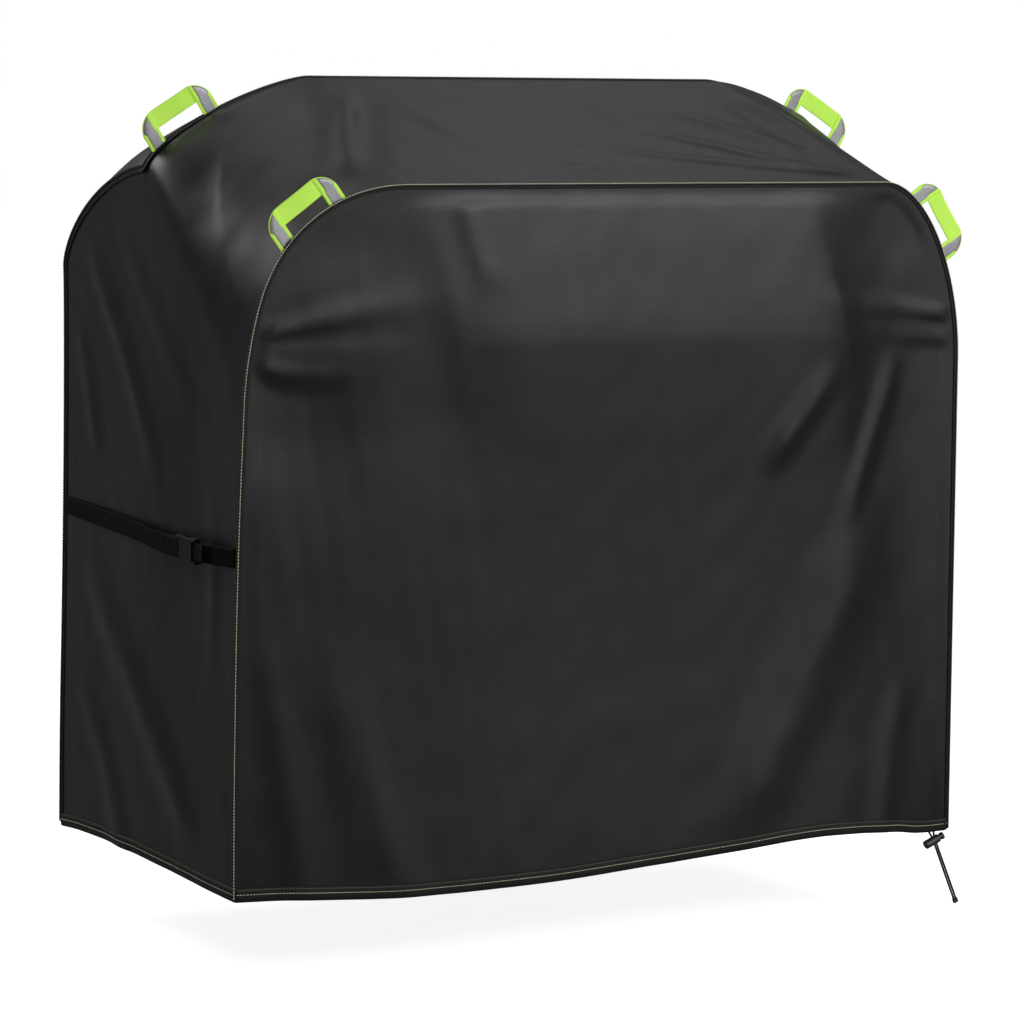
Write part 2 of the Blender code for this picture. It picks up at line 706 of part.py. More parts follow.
def make_male(side, mat, guide):
    """The buckle's clip half: a base with a webbing bar and a guide tongue."""
    thick, length, height = MALE_BASE
    rear = MALE_FRONT + length
    body = strap_box(f"buckle_clip_{side}", side, around(STRAP_OFFSET, thick),
                     (MALE_FRONT, rear), height, mat)
    soften(body, MALE_SOFTNESS)
    t_thick, t_length, t_height = TONGUE_SIZE
    tongue = strap_box(f"tongue_guide_{side}", side, around(STRAP_OFFSET, t_thick),
                       (MALE_FRONT - t_length, MALE_FRONT + TONGUE_ROOT), t_height, guide)
    cut(body, tongue, 'UNION')
    cut_webbing_slots(body, side, MALE_BAR, MALE_BAR - SLOT_REACH, rear + GUIDE_OVERRUN, guide)


def make_arms(side, mat):
    """The clip's two springing arms, each with its root on a hinge line at the base."""
    outward = -1 if side == "left" else 1
    inner = STRAP_OFFSET - ARM_DEPTH / 2
    for name, sign in (("upper", 1), ("lower", -1)):
        points = [
            strap_point(side, inner, MALE_FRONT - reach, STRAP_LEVEL + sign * height)
            for reach, height in ARM_PROFILE
        ]
        arm = plate(f"buckle_arm_{name}_{side}", points, mat, Vector((outward * ARM_DEPTH, 0, 0)))
        middle = sign * (ARM_ROOT + ARM_THICK / 2)
        hinge = strap_point(side, STRAP_OFFSET, MALE_FRONT - GAP, STRAP_LEVEL + middle)
        set_origin(arm, hinge)


def make_webbing(side, mat):
    """The strap's three lengths: to the socket, round the clip's bar, and to the back."""
    level = STRAP_LEVEL
    front = loop_path(STRAP_OFFSET, FEMALE_BAR, 1, FRONT_TAIL, level)
    front.insert(0, (STRAP_SEWN_OUT, STRAP_FRONT_SEW, level))
    ribbon(f"strap_front_{side}", side, front, mat)
    loop = loop_path(STRAP_OFFSET, MALE_BAR, -1, BACK_TAIL, level)
    ribbon(f"strap_loop_{side}", side, loop, mat)
    under = STRAP_OFFSET - LOOP_RADIUS - WEBBING_THICK - 2 * GAP
    long_path = [
        (under, MALE_BAR + 0.006, level), (under, MALE_BAR + 0.10, level),
        (STRAP_SEWN_OUT, MALE_BAR + 0.16, level + STRAP_BACK_RISE * 0.3),
        (STRAP_SEWN_OUT, STRAP_BACK_SEW, level + STRAP_BACK_RISE),
    ]
    ribbon(f"strap_back_{side}", side, long_path, mat)


# ---- The whole cover ----

def build():
    clear_scene()
    cloth = material("cover_cloth", (0.020, 0.020, 0.021), 0.62)
    piping = material("seam_binding", (0.023, 0.023, 0.023), 0.55)
    hem_mat = material("hem_cloth", (0.016, 0.016, 0.017), 0.62)
    lime = material("lime_webbing", (0.445, 0.840, 0.106), 0.70)
    tape = material("reflective_tape", (0.330, 0.330, 0.340), 0.35)
    strap = material("black_webbing", (0.006, 0.006, 0.006), 0.75)
    plastic = material("black_plastic", (0.010, 0.010, 0.010), 0.38)
    cord = material("black_cord", (0.008, 0.008, 0.008), 0.80)
    steel = material("spring_steel", (0.620, 0.620, 0.630), 0.30, 1.0)
    guide = material("guide", (0.8, 0.2, 0.2), 0.5)
    make_front_panel(cloth)
    make_side_walls(cloth)
    make_roof(cloth)
    make_back(cloth)
    make_front_piping(piping)
    make_back_piping(piping)
    make_hem(hem_mat, guide)
    make_drawcord(cord)
    make_tails(cord, plastic)
    make_cord_lock(plastic, plastic, steel, guide)
    make_handles(lime, tape)
    for side in ("left", "right"):
        make_female(side, plastic, guide)
        make_male(side, plastic, guide)
        make_arms(side, plastic)
        make_webbing(side, strap)


build()
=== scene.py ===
"""Look of the fabric grill cover: sewn panels, seams, webbing, straps, cord, light and camera."""

import json
from math import cos, pi, radians, sin, sqrt

import bmesh
import bpy
import numpy as np
from mathutils import Matrix, Vector
from mathutils.kdtree import KDTree

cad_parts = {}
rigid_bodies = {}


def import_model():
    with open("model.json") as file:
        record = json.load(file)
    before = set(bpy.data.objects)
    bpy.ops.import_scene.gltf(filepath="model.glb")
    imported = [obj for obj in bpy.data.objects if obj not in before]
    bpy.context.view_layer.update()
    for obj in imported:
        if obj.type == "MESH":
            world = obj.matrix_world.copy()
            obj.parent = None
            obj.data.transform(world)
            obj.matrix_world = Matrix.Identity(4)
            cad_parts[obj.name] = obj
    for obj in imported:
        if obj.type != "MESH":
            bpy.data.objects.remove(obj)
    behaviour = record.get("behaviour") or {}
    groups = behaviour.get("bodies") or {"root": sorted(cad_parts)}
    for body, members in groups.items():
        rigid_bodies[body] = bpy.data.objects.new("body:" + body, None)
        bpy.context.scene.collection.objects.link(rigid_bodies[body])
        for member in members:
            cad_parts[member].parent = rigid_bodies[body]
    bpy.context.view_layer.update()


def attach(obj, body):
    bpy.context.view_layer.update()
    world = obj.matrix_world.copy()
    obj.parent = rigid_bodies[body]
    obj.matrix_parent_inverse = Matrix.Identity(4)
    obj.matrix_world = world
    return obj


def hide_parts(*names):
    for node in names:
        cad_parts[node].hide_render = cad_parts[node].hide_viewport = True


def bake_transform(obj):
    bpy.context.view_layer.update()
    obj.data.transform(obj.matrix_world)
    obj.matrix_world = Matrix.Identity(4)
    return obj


for leftover in list(bpy.data.objects):
    bpy.data.objects.remove(leftover, do_unlink=True)
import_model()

# Dimensions shared with the CAD model, in metres
WIDTH = 1.118
DEPTH = 0.600
HEIGHT = 1.065
FRONT_HEIGHT = 0.925
RIDGE_DEPTH = 0.295
RIDGE_FLAT = 0.034
CLOTH = 0.002
BACK_WALL_HEIGHT = 0.800
FRONT_LEFT_CORNER = (0.250, 0.300, 2.15)
FRONT_RIGHT_CORNER = (0.125, 0.245, 1.9)
RIDGE_CORNER = (0.240, 0.120, 1.35)
BACK_SLOPE_ROUNDNESS = 1.55
SEAM_INSET = 0.0029
SEAM_DEPTH = 0.001
CORD_RADIUS = 0.0015
CORD_LEVEL = 0.0032
CORD_EXIT = Vector((1.0915, 0.001, 0.0))
CORD_START = 0.017
TAIL_DIRECTION = Vector((0.39, 0.0, -0.92)).normalized()
LOCK_DISTANCE = 0.0150
SPRING_ENDS = (-0.01402, -0.0074)
SPRING_RADIUS = 0.0030
SPRING_WIRE = 0.0003
SPRING_TURNS = 3.5
SPRING_POINTS = 90
TAIL_SPACING = 0.0018
TAIL_LENGTH = 0.110
WEBBING = 0.025
WEBBING_THICK = 0.0016
HANDLE_LENGTH = 0.115
HANDLE_REACH = 0.049
HANDLE_LIFT = 0.009
HANDLE_SWELL = 0.75
TAPE_WIDTH = 0.015
STRAP_LEVEL = 0.447
STRAP_OFFSET = 0.0095
STRAP_BACK_RISE = 0.014
BUCKLE_FRONT = 0.096
FEMALE_LENGTH = 0.043
MALE_LENGTH = 0.022
BAR_HALF = 0.0012
GAP = 0.0004
LOOP_RADIUS = BAR_HALF * sqrt(2) + GAP + WEBBING_THICK / 2

# Sewn details, in metres: each stitch is its length, the gap after it and its thread's radius
CREST_STITCH = (0.0036, 0.0007, 0.00070)
EDGE_STITCH = (0.0026, 0.0012, 0.00030)
HEM_STITCH = (0.0036, 0.0010, 0.00050)
HEM_UPPER_STITCH = (0.0026, 0.0012, 0.00026)
BOX_STITCH = (0.0022, 0.0008, 0.00030)
PIPING_RADIUS = 0.0022
PIPING_LIFT = 0.0004
BINDING_THICK = 0.0009
BINDING_PLACE = (0.0085, 0.0007)  # width and lift
LIP_PLACE = (0.0042, 0.0006)
CREST_LIFT = 0.0021
EDGE_INSET = 0.0058
EDGE_LIFT = 0.0012
HEM_CORNER = 0.005
HEM_POINTS = (170, 300)  # along each side, and along the front and the back
HEM_HEIGHT = 0.0175
HEM_SECTION = (  # inset and level, from the outside's top edge under and up the inside
    (-0.0002, HEM_HEIGHT), (-0.0016, HEM_HEIGHT - 0.0006), (-0.0020, HEM_HEIGHT - 0.004),
    (-0.0021, 0.0060), (-0.0019, 0.0020), (-0.0010, -0.0004), (0.0012, -0.0014),
    (0.0036, -0.0006), (0.0048, 0.0020), (0.0050, 0.0060), (0.0036, HEM_HEIGHT - 0.003),
    (0.0024, HEM_HEIGHT))
CORD_INSET = 0.0014
ACROSS_TAIL = Vector((-TAIL_DIRECTION.z, 0.0, TAIL_DIRECTION.x))

# Handles: how far the legs are tucked in, the step at a fold and the run it eases over
HANDLE_TUCK = 0.008
HANDLE_THICK = WEBBING_THICK * 0.85
FOLD_STEP = 0.0009
FOLD_EASE = 0.006

# Straps: the bars' places in the buckle halves, and where the sewn ends lie
FEMALE_BAR = 0.0060
MALE_BAR = 0.0080
BUCKLE_GAP = 0.0006
STRAP_REST = 0.0016
FRONT_SEWN = 0.010
BOX_LENGTH = 0.014

# Yarns and threads
YARN_PITCH = 0.0021
RIB_PITCH = 0.0016
BRAID_YARNS = 4
BRAID_PITCH = 0.0034
TWIST_PITCH = 0.0011

# Camera: its direction from the cover, its roll and distance, what it looks at, and its lens
CAMERA_AZIMUTH = radians(-28.346)
CAMERA_ELEVATION = radians(6.239)
CAMERA_ROLL = radians(0.438)
CAMERA_DISTANCE = 5.470
CAMERA_TARGET = Vector((-0.0029, 0.0020, -0.6071))
CAMERA_LENS = 135.68

# Stage
FLOOR_DROP = 0.125
FLOOR_REACH = 30.0
WORLD_SEEN = 1.0
WORLD_LIGHT = 0.15

BACKWARD = np.array([0.0, 1.0, 0.0])
MIDDLE_HEIGHT = 0.4  # a level well inside the cover, to tell inward from outward
OUTLINE_STEPS = 48
WAVE_COUNT = 26
FOLD_TROUGH = 0.35
SOFT_REACH = 0.10

ORIGIN = np.array([-WIDTH / 2, -RIDGE_DEPTH + RIDGE_FLAT / 2, -HEIGHT + CLOTH])


# ---- Camera ----

def make_camera():
    flat = cos(CAMERA_ELEVATION)
    back = Vector((sin(CAMERA_AZIMUTH) * flat, -cos(CAMERA_AZIMUTH) * flat, sin(CAMERA_ELEVATION)))
    right = Vector((0, 0, 1)).cross(back).normalized()
    up = back.cross(right)
    turned_right = right * cos(CAMERA_ROLL) + up * sin(CAMERA_ROLL)
    turned_up = up * cos(CAMERA_ROLL) - right * sin(CAMERA_ROLL)
    data = bpy.data.cameras.new("camera")
    data.lens = CAMERA_LENS
    data.sensor_width = 36.0
    data.clip_end = 60.0
    camera = bpy.data.objects.new("camera", data)
    turn = Matrix((turned_right, turned_up, back)).transposed().to_4x4()
    camera.matrix_world = Matrix.Translation(CAMERA_TARGET + back * CAMERA_DISTANCE) @ turn
    bpy.context.collection.objects.link(camera)
    bpy.context.scene.camera = camera


# ---- Node materials ----

class Nodes:
    """A material's node tree with short calls for adding and linking nodes."""

    def __init__(self, name):
        self.material = bpy.data.materials.new(name)
        self.material.use_nodes = True
        self.tree = self.material.node_tree
        self.shader = self.tree.nodes["Principled BSDF"]

    def add(self, kind, inputs, **settings):
        node = self.tree.nodes.new(kind)
        for key, value in settings.items():
            setattr(node, key, value)
        for key, value in inputs.items():
            self.put(node.inputs[key], value)
        return node

    def put(self, socket, value):
        if isinstance(value, bpy.types.NodeSocket):
            self.tree.links.new(value, socket)
        else:
            socket.default_value = value

    def math(self, operation, a, b=0.0, clamp=False):
        node = self.add('ShaderNodeMath', {0: a, 1: b}, operation=operation, use_clamp=clamp)
        return node.outputs[0]

    def mixed(self, *terms, clamp=False):
        """Sum of values, each given with its share."""
        total = self.math('MULTIPLY', *terms[0])
        for number, term in enumerate(terms[1:], 2):
            part = self.math('MULTIPLY', *term)
            total = self.math('ADD', total, part, clamp and number == len(terms))
        return total

    def ramp(self, factor, low, dark, high, light):
        node = self.add('ShaderNodeValToRGB', {"Fac": factor})
        for element, place, colour in zip(node.color_ramp.elements, (low, high), (dark, light)):
            element.position = place
            element.color = (*colour, 1.0)
        return node.outputs["Color"]

    def spread(self, factor, low, high):
        """Map 0..1 to low..high."""
        node = self.add('ShaderNodeMapRange', {"Value": factor, "To Min": low, "To Max": high})
        return node.outputs["Result"]

    def noise(self, vector, scale, detail=3.0, roughness=0.5):
        node = self.add('ShaderNodeTexNoise', {
            "Vector": vector, "Scale": scale, "Detail": detail, "Roughness": roughness})
        return node.outputs["Fac"]

    def scaled(self, vector, scale):
        return self.add('ShaderNodeMapping', {"Vector": vector, "Scale": scale}).outputs["Vector"]

    def coordinates(self, output="UV"):
        return self.add('ShaderNodeTexCoord', {}).outputs[output]

    def parts(self, vector):
        return self.add('ShaderNodeSeparateXYZ', {"Vector": vector}).outputs

    def wave(self, value, pitch):
        """A sine of the value, with the given length of one wave."""
        return self.math('SINE', self.math('MULTIPLY', value, 2 * pi / pitch))

    def bump(self, height, strength, distance, below=None):
        inputs = {"Height": height, "Strength": strength, "Distance": distance}
        if below is not None:
            inputs["Normal"] = below
        return self.add('ShaderNodeBump', inputs).outputs["Normal"]

    def surface(self, colour, roughness, normal=None, **uniform):
        """Link the shader's colour, roughness and normal, and set its uniform values by name."""
        linked = {"Base Color": colour, "Roughness": roughness, "Normal": normal}
        for name, socket in linked.items():
            if socket is not None:
                self.put(self.shader.inputs[name], socket)
        for name, value in uniform.items():
            self.shader.inputs[name.replace("_", " ")].default_value = value
        return self.material


def weave_height(nodes, uv, pitch):
    """Height of a plain weave: warp and weft yarns that pass over and under each other."""
    across, along, _ = nodes.parts(nodes.scaled(uv, (1 / pitch,) * 3))
    warp = nodes.math('ABSOLUTE', nodes.wave(across, 2.0))
    weft = nodes.math('ABSOLUTE', nodes.wave(along, 2.0))
    cell = nodes.math('ADD', nodes.math('FLOOR', across), nodes.math('FLOOR', along))
    over = nodes.math('PINGPONG', cell, 1.0)
    warp_top = nodes.math('MULTIPLY', warp, over)
    weft_top = nodes.math('MULTIPLY', weft, nodes.math('SUBTRACT', 1.0, over))
    return nodes.math('ADD', warp_top, weft_top)


def cloth_material(name, dark, light, roughness, weave=0.0011):
    """Coated Oxford cloth: plain weave, slubs, faint cloudiness and soft rubbed patches."""
    nodes = Nodes(name)
    uv = nodes.coordinates()
    place = nodes.coordinates("Object")
    height = weave_height(nodes, uv, weave)
    slub = nodes.noise(nodes.scaled(uv, (42.0, 420.0, 1.0)), 1.0, 2.0)
    slub_up = nodes.noise(nodes.scaled(uv, (380.0, 36.0, 1.0)), 1.0, 2.0)
    cloud = nodes.noise(place, 5.5, 4.0, 0.55)
    rubbed = nodes.noise(place, 23.0, 3.0, 0.6)
    yarn = nodes.mixed((slub, 0.5), (slub_up, 0.12))
    # The tone mixes the yarns' random slubs and cloudiness with painted shade: the weave's low places
    # between yarns are darker.
    tone = nodes.mixed((yarn, 0.75), (cloud, 0.45), (height, 0.10), clamp=True)
    rough = nodes.mixed((slub, 0.5), (rubbed, 0.5))
    pucker = nodes.noise(nodes.scaled(uv, (30.0, 75.0, 1.0)), 1.0, 3.0)
    soft = nodes.bump(pucker, 0.12, 0.0012)
    lines = nodes.bump(slub, 0.16, 0.0005, soft)
    return nodes.surface(
        nodes.ramp(tone, 0.30, dark, 0.78, light),
        nodes.spread(rough, roughness - 0.07, roughness + 0.07),
        nodes.bump(height, 0.16, 0.0003, lines),
        Specular_IOR_Level=0.30, Sheen_Weight=0.03, Sheen_Roughness=0.45)


def webbing_material(name, dark, light, roughness, sheen, specular, **painted_glow):
    """Flat woven webbing: cross ribs, lengthwise yarns and a little soil. Any extra emission settings
    make it give off light though it is no lamp: painted light.
    """
    nodes = Nodes(name)
    uv = nodes.coordinates()
    across, along, _ = nodes.parts(uv)
    yarn = nodes.wave(across, YARN_PITCH)
    phase = nodes.math('MULTIPLY', nodes.math('SIGN', yarn), pi / 2)
    turn = nodes.math('MULTIPLY', along, 2 * pi / RIB_PITCH)
    ribs = nodes.math('SINE', nodes.math('ADD', turn, phase))
    height = nodes.mixed((ribs, 0.30), (nodes.math('ABSOLUTE', yarn), 0.40))
    fibre = nodes.noise(nodes.scaled(uv, (2400.0, 300.0, 1.0)), 1.0, 2.0)
    soil = nodes.noise(nodes.coordinates("Object"), 34.0, 4.0, 0.6)
    # The tone mixes random soil and fibre with painted shade: the low places between ribs and yarns
    # are darker.
    tone = nodes.mixed((height, 0.30), (soil, 0.5), (fibre, 0.30), clamp=True)
    fine = nodes.bump(fibre, 0.25, 0.0003)
    return nodes.surface(
        nodes.ramp(tone, 0.2, dark, 0.75, light),
        nodes.spread(fibre, roughness - 0.06, roughness + 0.08),
        nodes.bump(height, 0.5, 0.0003, fine),
        Sheen_Weight=sheen, Sheen_Roughness=0.4, Specular_IOR_Level=specular, **painted_glow)


def tape_material(name):
    """Reflective tape: fine silver bead cloth with a honeycomb of glue lines and scuffs."""
    nodes = Nodes(name)
    place = nodes.coordinates("Object")
    cells = nodes.add('ShaderNodeTexVoronoi', {"Vector": place, "Scale": 620.0})
    bead = cells.outputs["Distance"]
    scuff = nodes.noise(place, 90.0, 4.0, 0.65)
    tone = nodes.mixed((bead, 0.35), (scuff, 0.75), clamp=True)
    return nodes.surface(
        nodes.ramp(tone, 0.25, (0.235, 0.235, 0.25), 0.75, (0.40, 0.40, 0.425)),
        nodes.spread(scuff, 0.32, 0.52), nodes.bump(bead, 0.12, 0.0002), Metallic=0.25)


def plastic_material(name, dark, light, roughness, specular=0.5):
    """Moulded plastic: a fine spark-eroded grain, faint flow marks and rubbed gloss."""
    nodes = Nodes(name)
    place = nodes.coordinates("Object")
    grain = nodes.noise(place, 900.0, 2.0)
    flow = nodes.noise(nodes.scaled(place, (40.0, 40.0, 160.0)), 1.0, 3.0)
    scuff = nodes.noise(place, 240.0, 5.0, 0.7)
    return nodes.surface(
        nodes.ramp(flow, 0.3, dark, 0.75, light),
        nodes.spread(scuff, roughness - 0.10, roughness + 0.14),
        nodes.bump(grain, 0.18, 0.0002), Specular_IOR_Level=specular)


def cord_material(name):
    """Round braided cord: two families of yarns wound in opposite ways."""
    nodes = Nodes(name)
    turn, length, _ = nodes.parts(nodes.coordinates())
    around = nodes.math('MULTIPLY', turn, 2 * pi * BRAID_YARNS)
    along = nodes.math('MULTIPLY', length, 2 * pi / BRAID_PITCH)
    one = nodes.math('ABSOLUTE', nodes.math('SINE', nodes.math('ADD', around, along)))
    other = nodes.math('ABSOLUTE', nodes.math('SINE', nodes.math('SUBTRACT', around, along)))
    height = nodes.math('MAXIMUM', one, other)
    lint = nodes.noise(nodes.coordinates("Object"), 700.0, 2.0)
    # The tone mixes random lint with painted shade: the hollows between the braid's yarns are darker.
    tone = nodes.mixed((height, 0.6), (lint, 0.4))
    return nodes.surface(
        nodes.ramp(tone, 0.3, (0.003,) * 3, 0.95, (0.016,) * 3),
        nodes.spread(lint, 0.65, 0.85), nodes.bump(height, 0.8, 0.0004), Sheen_Weight=0.1)


def thread_material(name, dark, light):
    """Twisted sewing thread."""
    nodes = Nodes(name)
    turn, length, _ = nodes.parts(nodes.coordinates())
    twist = nodes.mixed((turn, 2 * pi), (length, 2 * pi / TWIST_PITCH))
    height = nodes.math('ABSOLUTE', nodes.math('SINE', twist))
    change = nodes.noise(nodes.coordinates("Object"), 60.0, 3.0)
    # The tone mixes random change along the thread with painted shade: the twist's grooves are
    # darker.
    tone = nodes.mixed((height, 0.4), (change, 0.7))
    return nodes.surface(
        nodes.ramp(tone, 0.25, dark, 0.8, light), nodes.spread(change, 0.45, 0.65),
        nodes.bump(height, 0.5, 0.0003), Sheen_Weight=0.2)


def steel_material(name):
    """Bright drawn wire."""
    nodes = Nodes(name)
    drawn = nodes.noise(nodes.coordinates("Object"), 1500.0, 3.0)
    return nodes.surface(
        nodes.ramp(drawn, 0.3, (0.45, 0.45, 0.46), 0.7, (0.66, 0.66, 0.67)),
        nodes.spread(drawn, 0.22, 0.42), Metallic=1.0)


make_camera()
CLOTH_MAT = cloth_material(
    "oxford_cloth", (0.0050, 0.0050, 0.0052), (0.0120, 0.0120, 0.0122), 0.36)
BINDING_MAT = cloth_material(
    "binding_tape", (0.0042, 0.0042, 0.0040), (0.0095, 0.0094, 0.0088), 0.58, weave=0.0008)
# The hem's cloth is the cover's cloth made darker: painted shade for the dark band along the rolled
# hem.
HEM_SHADED_MAT = cloth_material(
    "hem_cloth_painted_shade", (0.0036, 0.0036, 0.0034), (0.0085, 0.0085, 0.0080), 0.58)
# The lime webbing gives off light from an emission though it is no lamp: painted light that brightens
# it beyond what the lamps give it.
LIME_MAT = webbing_material(
    "lime_webbing_woven", (0.44, 0.80, 0.075), (0.60, 0.97, 0.14), 0.66, 0.15, 0.3,
    Emission_Color=(0.50, 0.80, 0.09, 1.0), Emission_Strength=0.32)
BLACK_WEB_MAT = webbing_material(
    "black_webbing_woven", (0.0008,) * 3, (0.0030, 0.0030, 0.0031), 0.72, 0.0, 0.10)
TAPE_MAT = tape_material("silver_tape_beaded")
PLASTIC_MAT = plastic_material(
    "buckle_plastic", (0.0040, 0.0040, 0.0042), (0.0085, 0.0085, 0.0088), 0.40, 0.22)
LOCK_MAT = plastic_material(
    "lock_plastic", (0.012, 0.012, 0.0125), (0.026, 0.026, 0.027), 0.42)
CORD_MAT = cord_material("braided_cord")
CREAM_MAT = thread_material("cream_thread", (0.62, 0.64, 0.42), (0.92, 0.94, 0.66))
GREEN_MAT = thread_material("yellow_green_thread", (0.10, 0.12, 0.025), (0.22, 0.26, 0.06))
BLACK_THREAD_MAT = thread_material("black_thread", (0.004,) * 3, (0.014,) * 3)
STEEL_MAT = steel_material("drawn_spring_steel")


# ---- Mesh helpers ----

def link_mesh(name, points, faces, uv, mat):
    """An object from vertex places (from left, front and hem), faces and cloth coordinates."""
    mesh = bpy.data.meshes.new(name)
    world = np.asarray(points, float).reshape(-1, 3) + ORIGIN
    mesh.from_pydata(world.tolist(), [], faces if isinstance(faces, list) else faces.tolist())
    layer = mesh.uv_layers.new(name="cloth")
    corner = np.empty(len(mesh.loops), dtype=np.int32)
    mesh.loops.foreach_get("vertex_index", corner)
    layer.data.foreach_set("uv", np.asarray(uv, float).reshape(-1, 2)[corner].ravel())
    mesh.materials.append(mat)
    obj = bpy.data.objects.new(name, mesh)
    bpy.context.collection.objects.link(obj)
    mesh.shade_smooth()
    return obj


def weld(obj, distance, reshape=None):
    """Join points that meet, turn the faces outward, and reshape the welded mesh if asked."""
    bm = bmesh.new()
    bm.from_mesh(obj.data)
    bmesh.ops.remove_doubles(bm, verts=bm.verts, dist=distance)
    bmesh.ops.recalc_face_normals(bm, faces=bm.faces)
    if reshape:
        reshape(bm)
    bm.to_mesh(obj.data)
    bm.free()
    obj.data.shade_smooth()


def place_piece(obj, slot, *nodes, body="root"):
    """Set the body a piece rides and hide the CAD nodes it stands for; its material slot argument is
    not used.
    """
    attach(obj, body)
    if nodes:
        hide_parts(*nodes)
    return obj


def grid_faces(rows, columns, first=0, flip=False):
    index = np.arange(rows * columns).reshape(rows, columns) + first
    quads = np.stack([index[:-1, :-1], index[:-1, 1:], index[1:, 1:], index[1:, :-1]], axis=-1)
    quads = quads.reshape(-1, 4)
    return quads[:, ::-1] if flip else quads


def unit(v):
    return v / np.maximum(np.linalg.norm(v, axis=-1, keepdims=True), 1e-12)


def shell(name, grid, thickness, mat, uv, edge=0.25):
    """A closed strip around a middle surface, its thickness easing off at the side edges."""
    rows, columns = grid.shape[:2]
    normals = unit(np.cross(np.gradient(grid, axis=1), np.gradient(grid, axis=0)))
    place = np.abs(np.linspace(-1, 1, columns))
    ease = edge + (1 - edge) * np.sqrt(np.maximum(1 - place ** 6, 0))
    half = (thickness / 2 * ease)[None, :, None]
    top = (grid + normals * half).reshape(-1, 3)
    bottom = (grid - normals * half).reshape(-1, 3)
    count = rows * columns
    faces = [grid_faces(rows, columns), grid_faces(rows, columns, count, flip=True)]
    index = np.arange(count).reshape(rows, columns)
    rim = np.concatenate([index[0, :], index[1:, -1], index[-1, -2::-1], index[-2:0:-1, 0]])
    after = np.roll(rim, -1)
    faces.append(np.stack([after, rim, rim + count, after + count], axis=-1))
    flat = np.asarray(uv, float).reshape(-1, 2)
    return link_mesh(name, np.concatenate([top, bottom]), np.concatenate(faces),
                     np.concatenate([flat, flat]), mat)


def arc_length(line):
    steps = np.linalg.norm(np.diff(line, axis=0), axis=1)
    return np.concatenate([[0.0], np.cumsum(steps)])


def resample(line, count):
    line = np.asarray(line, float)
    lengths = arc_length(line)
    wanted = np.linspace(0, lengths[-1], count)
    return np.stack([np.interp(wanted, lengths, line[:, k]) for k in range(line.shape[1])], axis=1)


def curve_through(points, count):
    """Points of the Catmull-Rom curve through the given points."""
    points = np.asarray(points, float)
    padded = np.concatenate([[2 * points[0] - points[1]], points, [2 * points[-1] - points[-2]]])
    place = np.linspace(0, len(points) - 1 - 1e-9, count)
    k = place.astype(int)
    t = (place - k)[:, None]
    a, b, c, d = padded[k], padded[k + 1], padded[k + 2], padded[k + 3]
    bend = 2 * b + (c - a) * t + (2 * a - 5 * b + 4 * c - d) * t ** 2
    return (bend + (3 * b - a - 3 * c + d) * t ** 3) / 2


def smooth_line(points, count):
    """Evenly spaced points of the curve through the given points."""
    return resample(curve_through(points, count * 4), count)


def smoothstep(low, high, value):
    t = np.clip((value - low) / (high - low), 0, 1)
    return t * t * (3 - 2 * t)


def tube_mesh(name, line, radius, mat, sides):
    """A round closed tube along a line, with cloth coordinates (turn, length)."""
    line = np.asarray(line, float)
    angles = np.linspace(0, 2 * pi, sides + 1)[:, None]
    side = np.array([0.0, 1.0, 0.0])
    rings = []
    for place, direction in zip(line, unit(np.gradient(line, axis=0))):
        side = unit(side - direction * side.dot(direction))
        other = np.cross(direction, side)
        rings.append(place + (np.cos(angles) * side + np.sin(angles) * other) * radius)
    uv = np.stack(np.meshgrid(np.linspace(0, 1, sides + 1), arc_length(line)), axis=-1)
    rows = len(line)
    faces = grid_faces(rows, sides + 1).tolist()
    faces.append(list(range(sides, 0, -1)))
    last = (rows - 1) * (sides + 1)
    faces.append([last + k for k in range(sides)])
    obj = link_mesh(name, rings, faces, uv, mat)
    weld(obj, 1e-7)
    return obj


def stitch_row(name, line, normals, mat, size):
    """Separate stitches along a line, each a short thread that dips into the cloth."""
    length, gap, radius = size
    lengths = arc_length(line)
    pitch = length + gap
    count = int(lengths[-1] // pitch)
    offset = (lengths[-1] - count * pitch + gap) / 2
    starts = offset + np.arange(count) * pitch

    def read(array, place):
        return np.stack([np.interp(place, lengths, array[:, k]) for k in range(3)], axis=-1)

    stations = np.array([0.0, 0.16, 0.5, 0.84, 1.0])
    sizes = np.array([0.45, 0.95, 1.0, 0.95, 0.45]) * radius
    lift = np.array([-0.9, 0.15, 0.45, 0.15, -0.9]) * radius
    places = starts[:, None] + stations[None, :] * length
    centre = read(line, places)
    up = unit(read(normals, places))
    tangent = unit(read(line, starts + length) - read(line, starts))[:, None, :]
    side = unit(np.cross(np.broadcast_to(tangent, centre.shape), up))
    up = unit(np.cross(side, tangent))
    centre = centre + up * lift[None, :, None]
    sides = 6
    angles = np.linspace(0, 2 * pi, sides, endpoint=False)
    ring = (np.cos(angles)[None, None, :, None] * side[:, :, None, :]
            + np.sin(angles)[None, None, :, None] * up[:, :, None, :])
    points = centre[:, :, None, :] + ring * sizes[None, :, None, None]
    shape = (count, len(stations), sides)
    turn = np.broadcast_to(angles / (2 * pi), shape)
    far = np.broadcast_to((places - starts[:, None])[:, :, None], shape)
    ahead = (np.arange(sides) + 1) % sides
    index = np.arange(count * len(stations) * sides).reshape(shape)
    near, after = index[:, :-1], index[:, 1:]
    quads = np.stack([near, near[..., ahead], after[..., ahead], after], axis=-1)
    return link_mesh(name, points, quads.reshape(-1, 4), np.stack([turn, far], axis=-1), mat)


# ---- Outlines of the sewn body ----

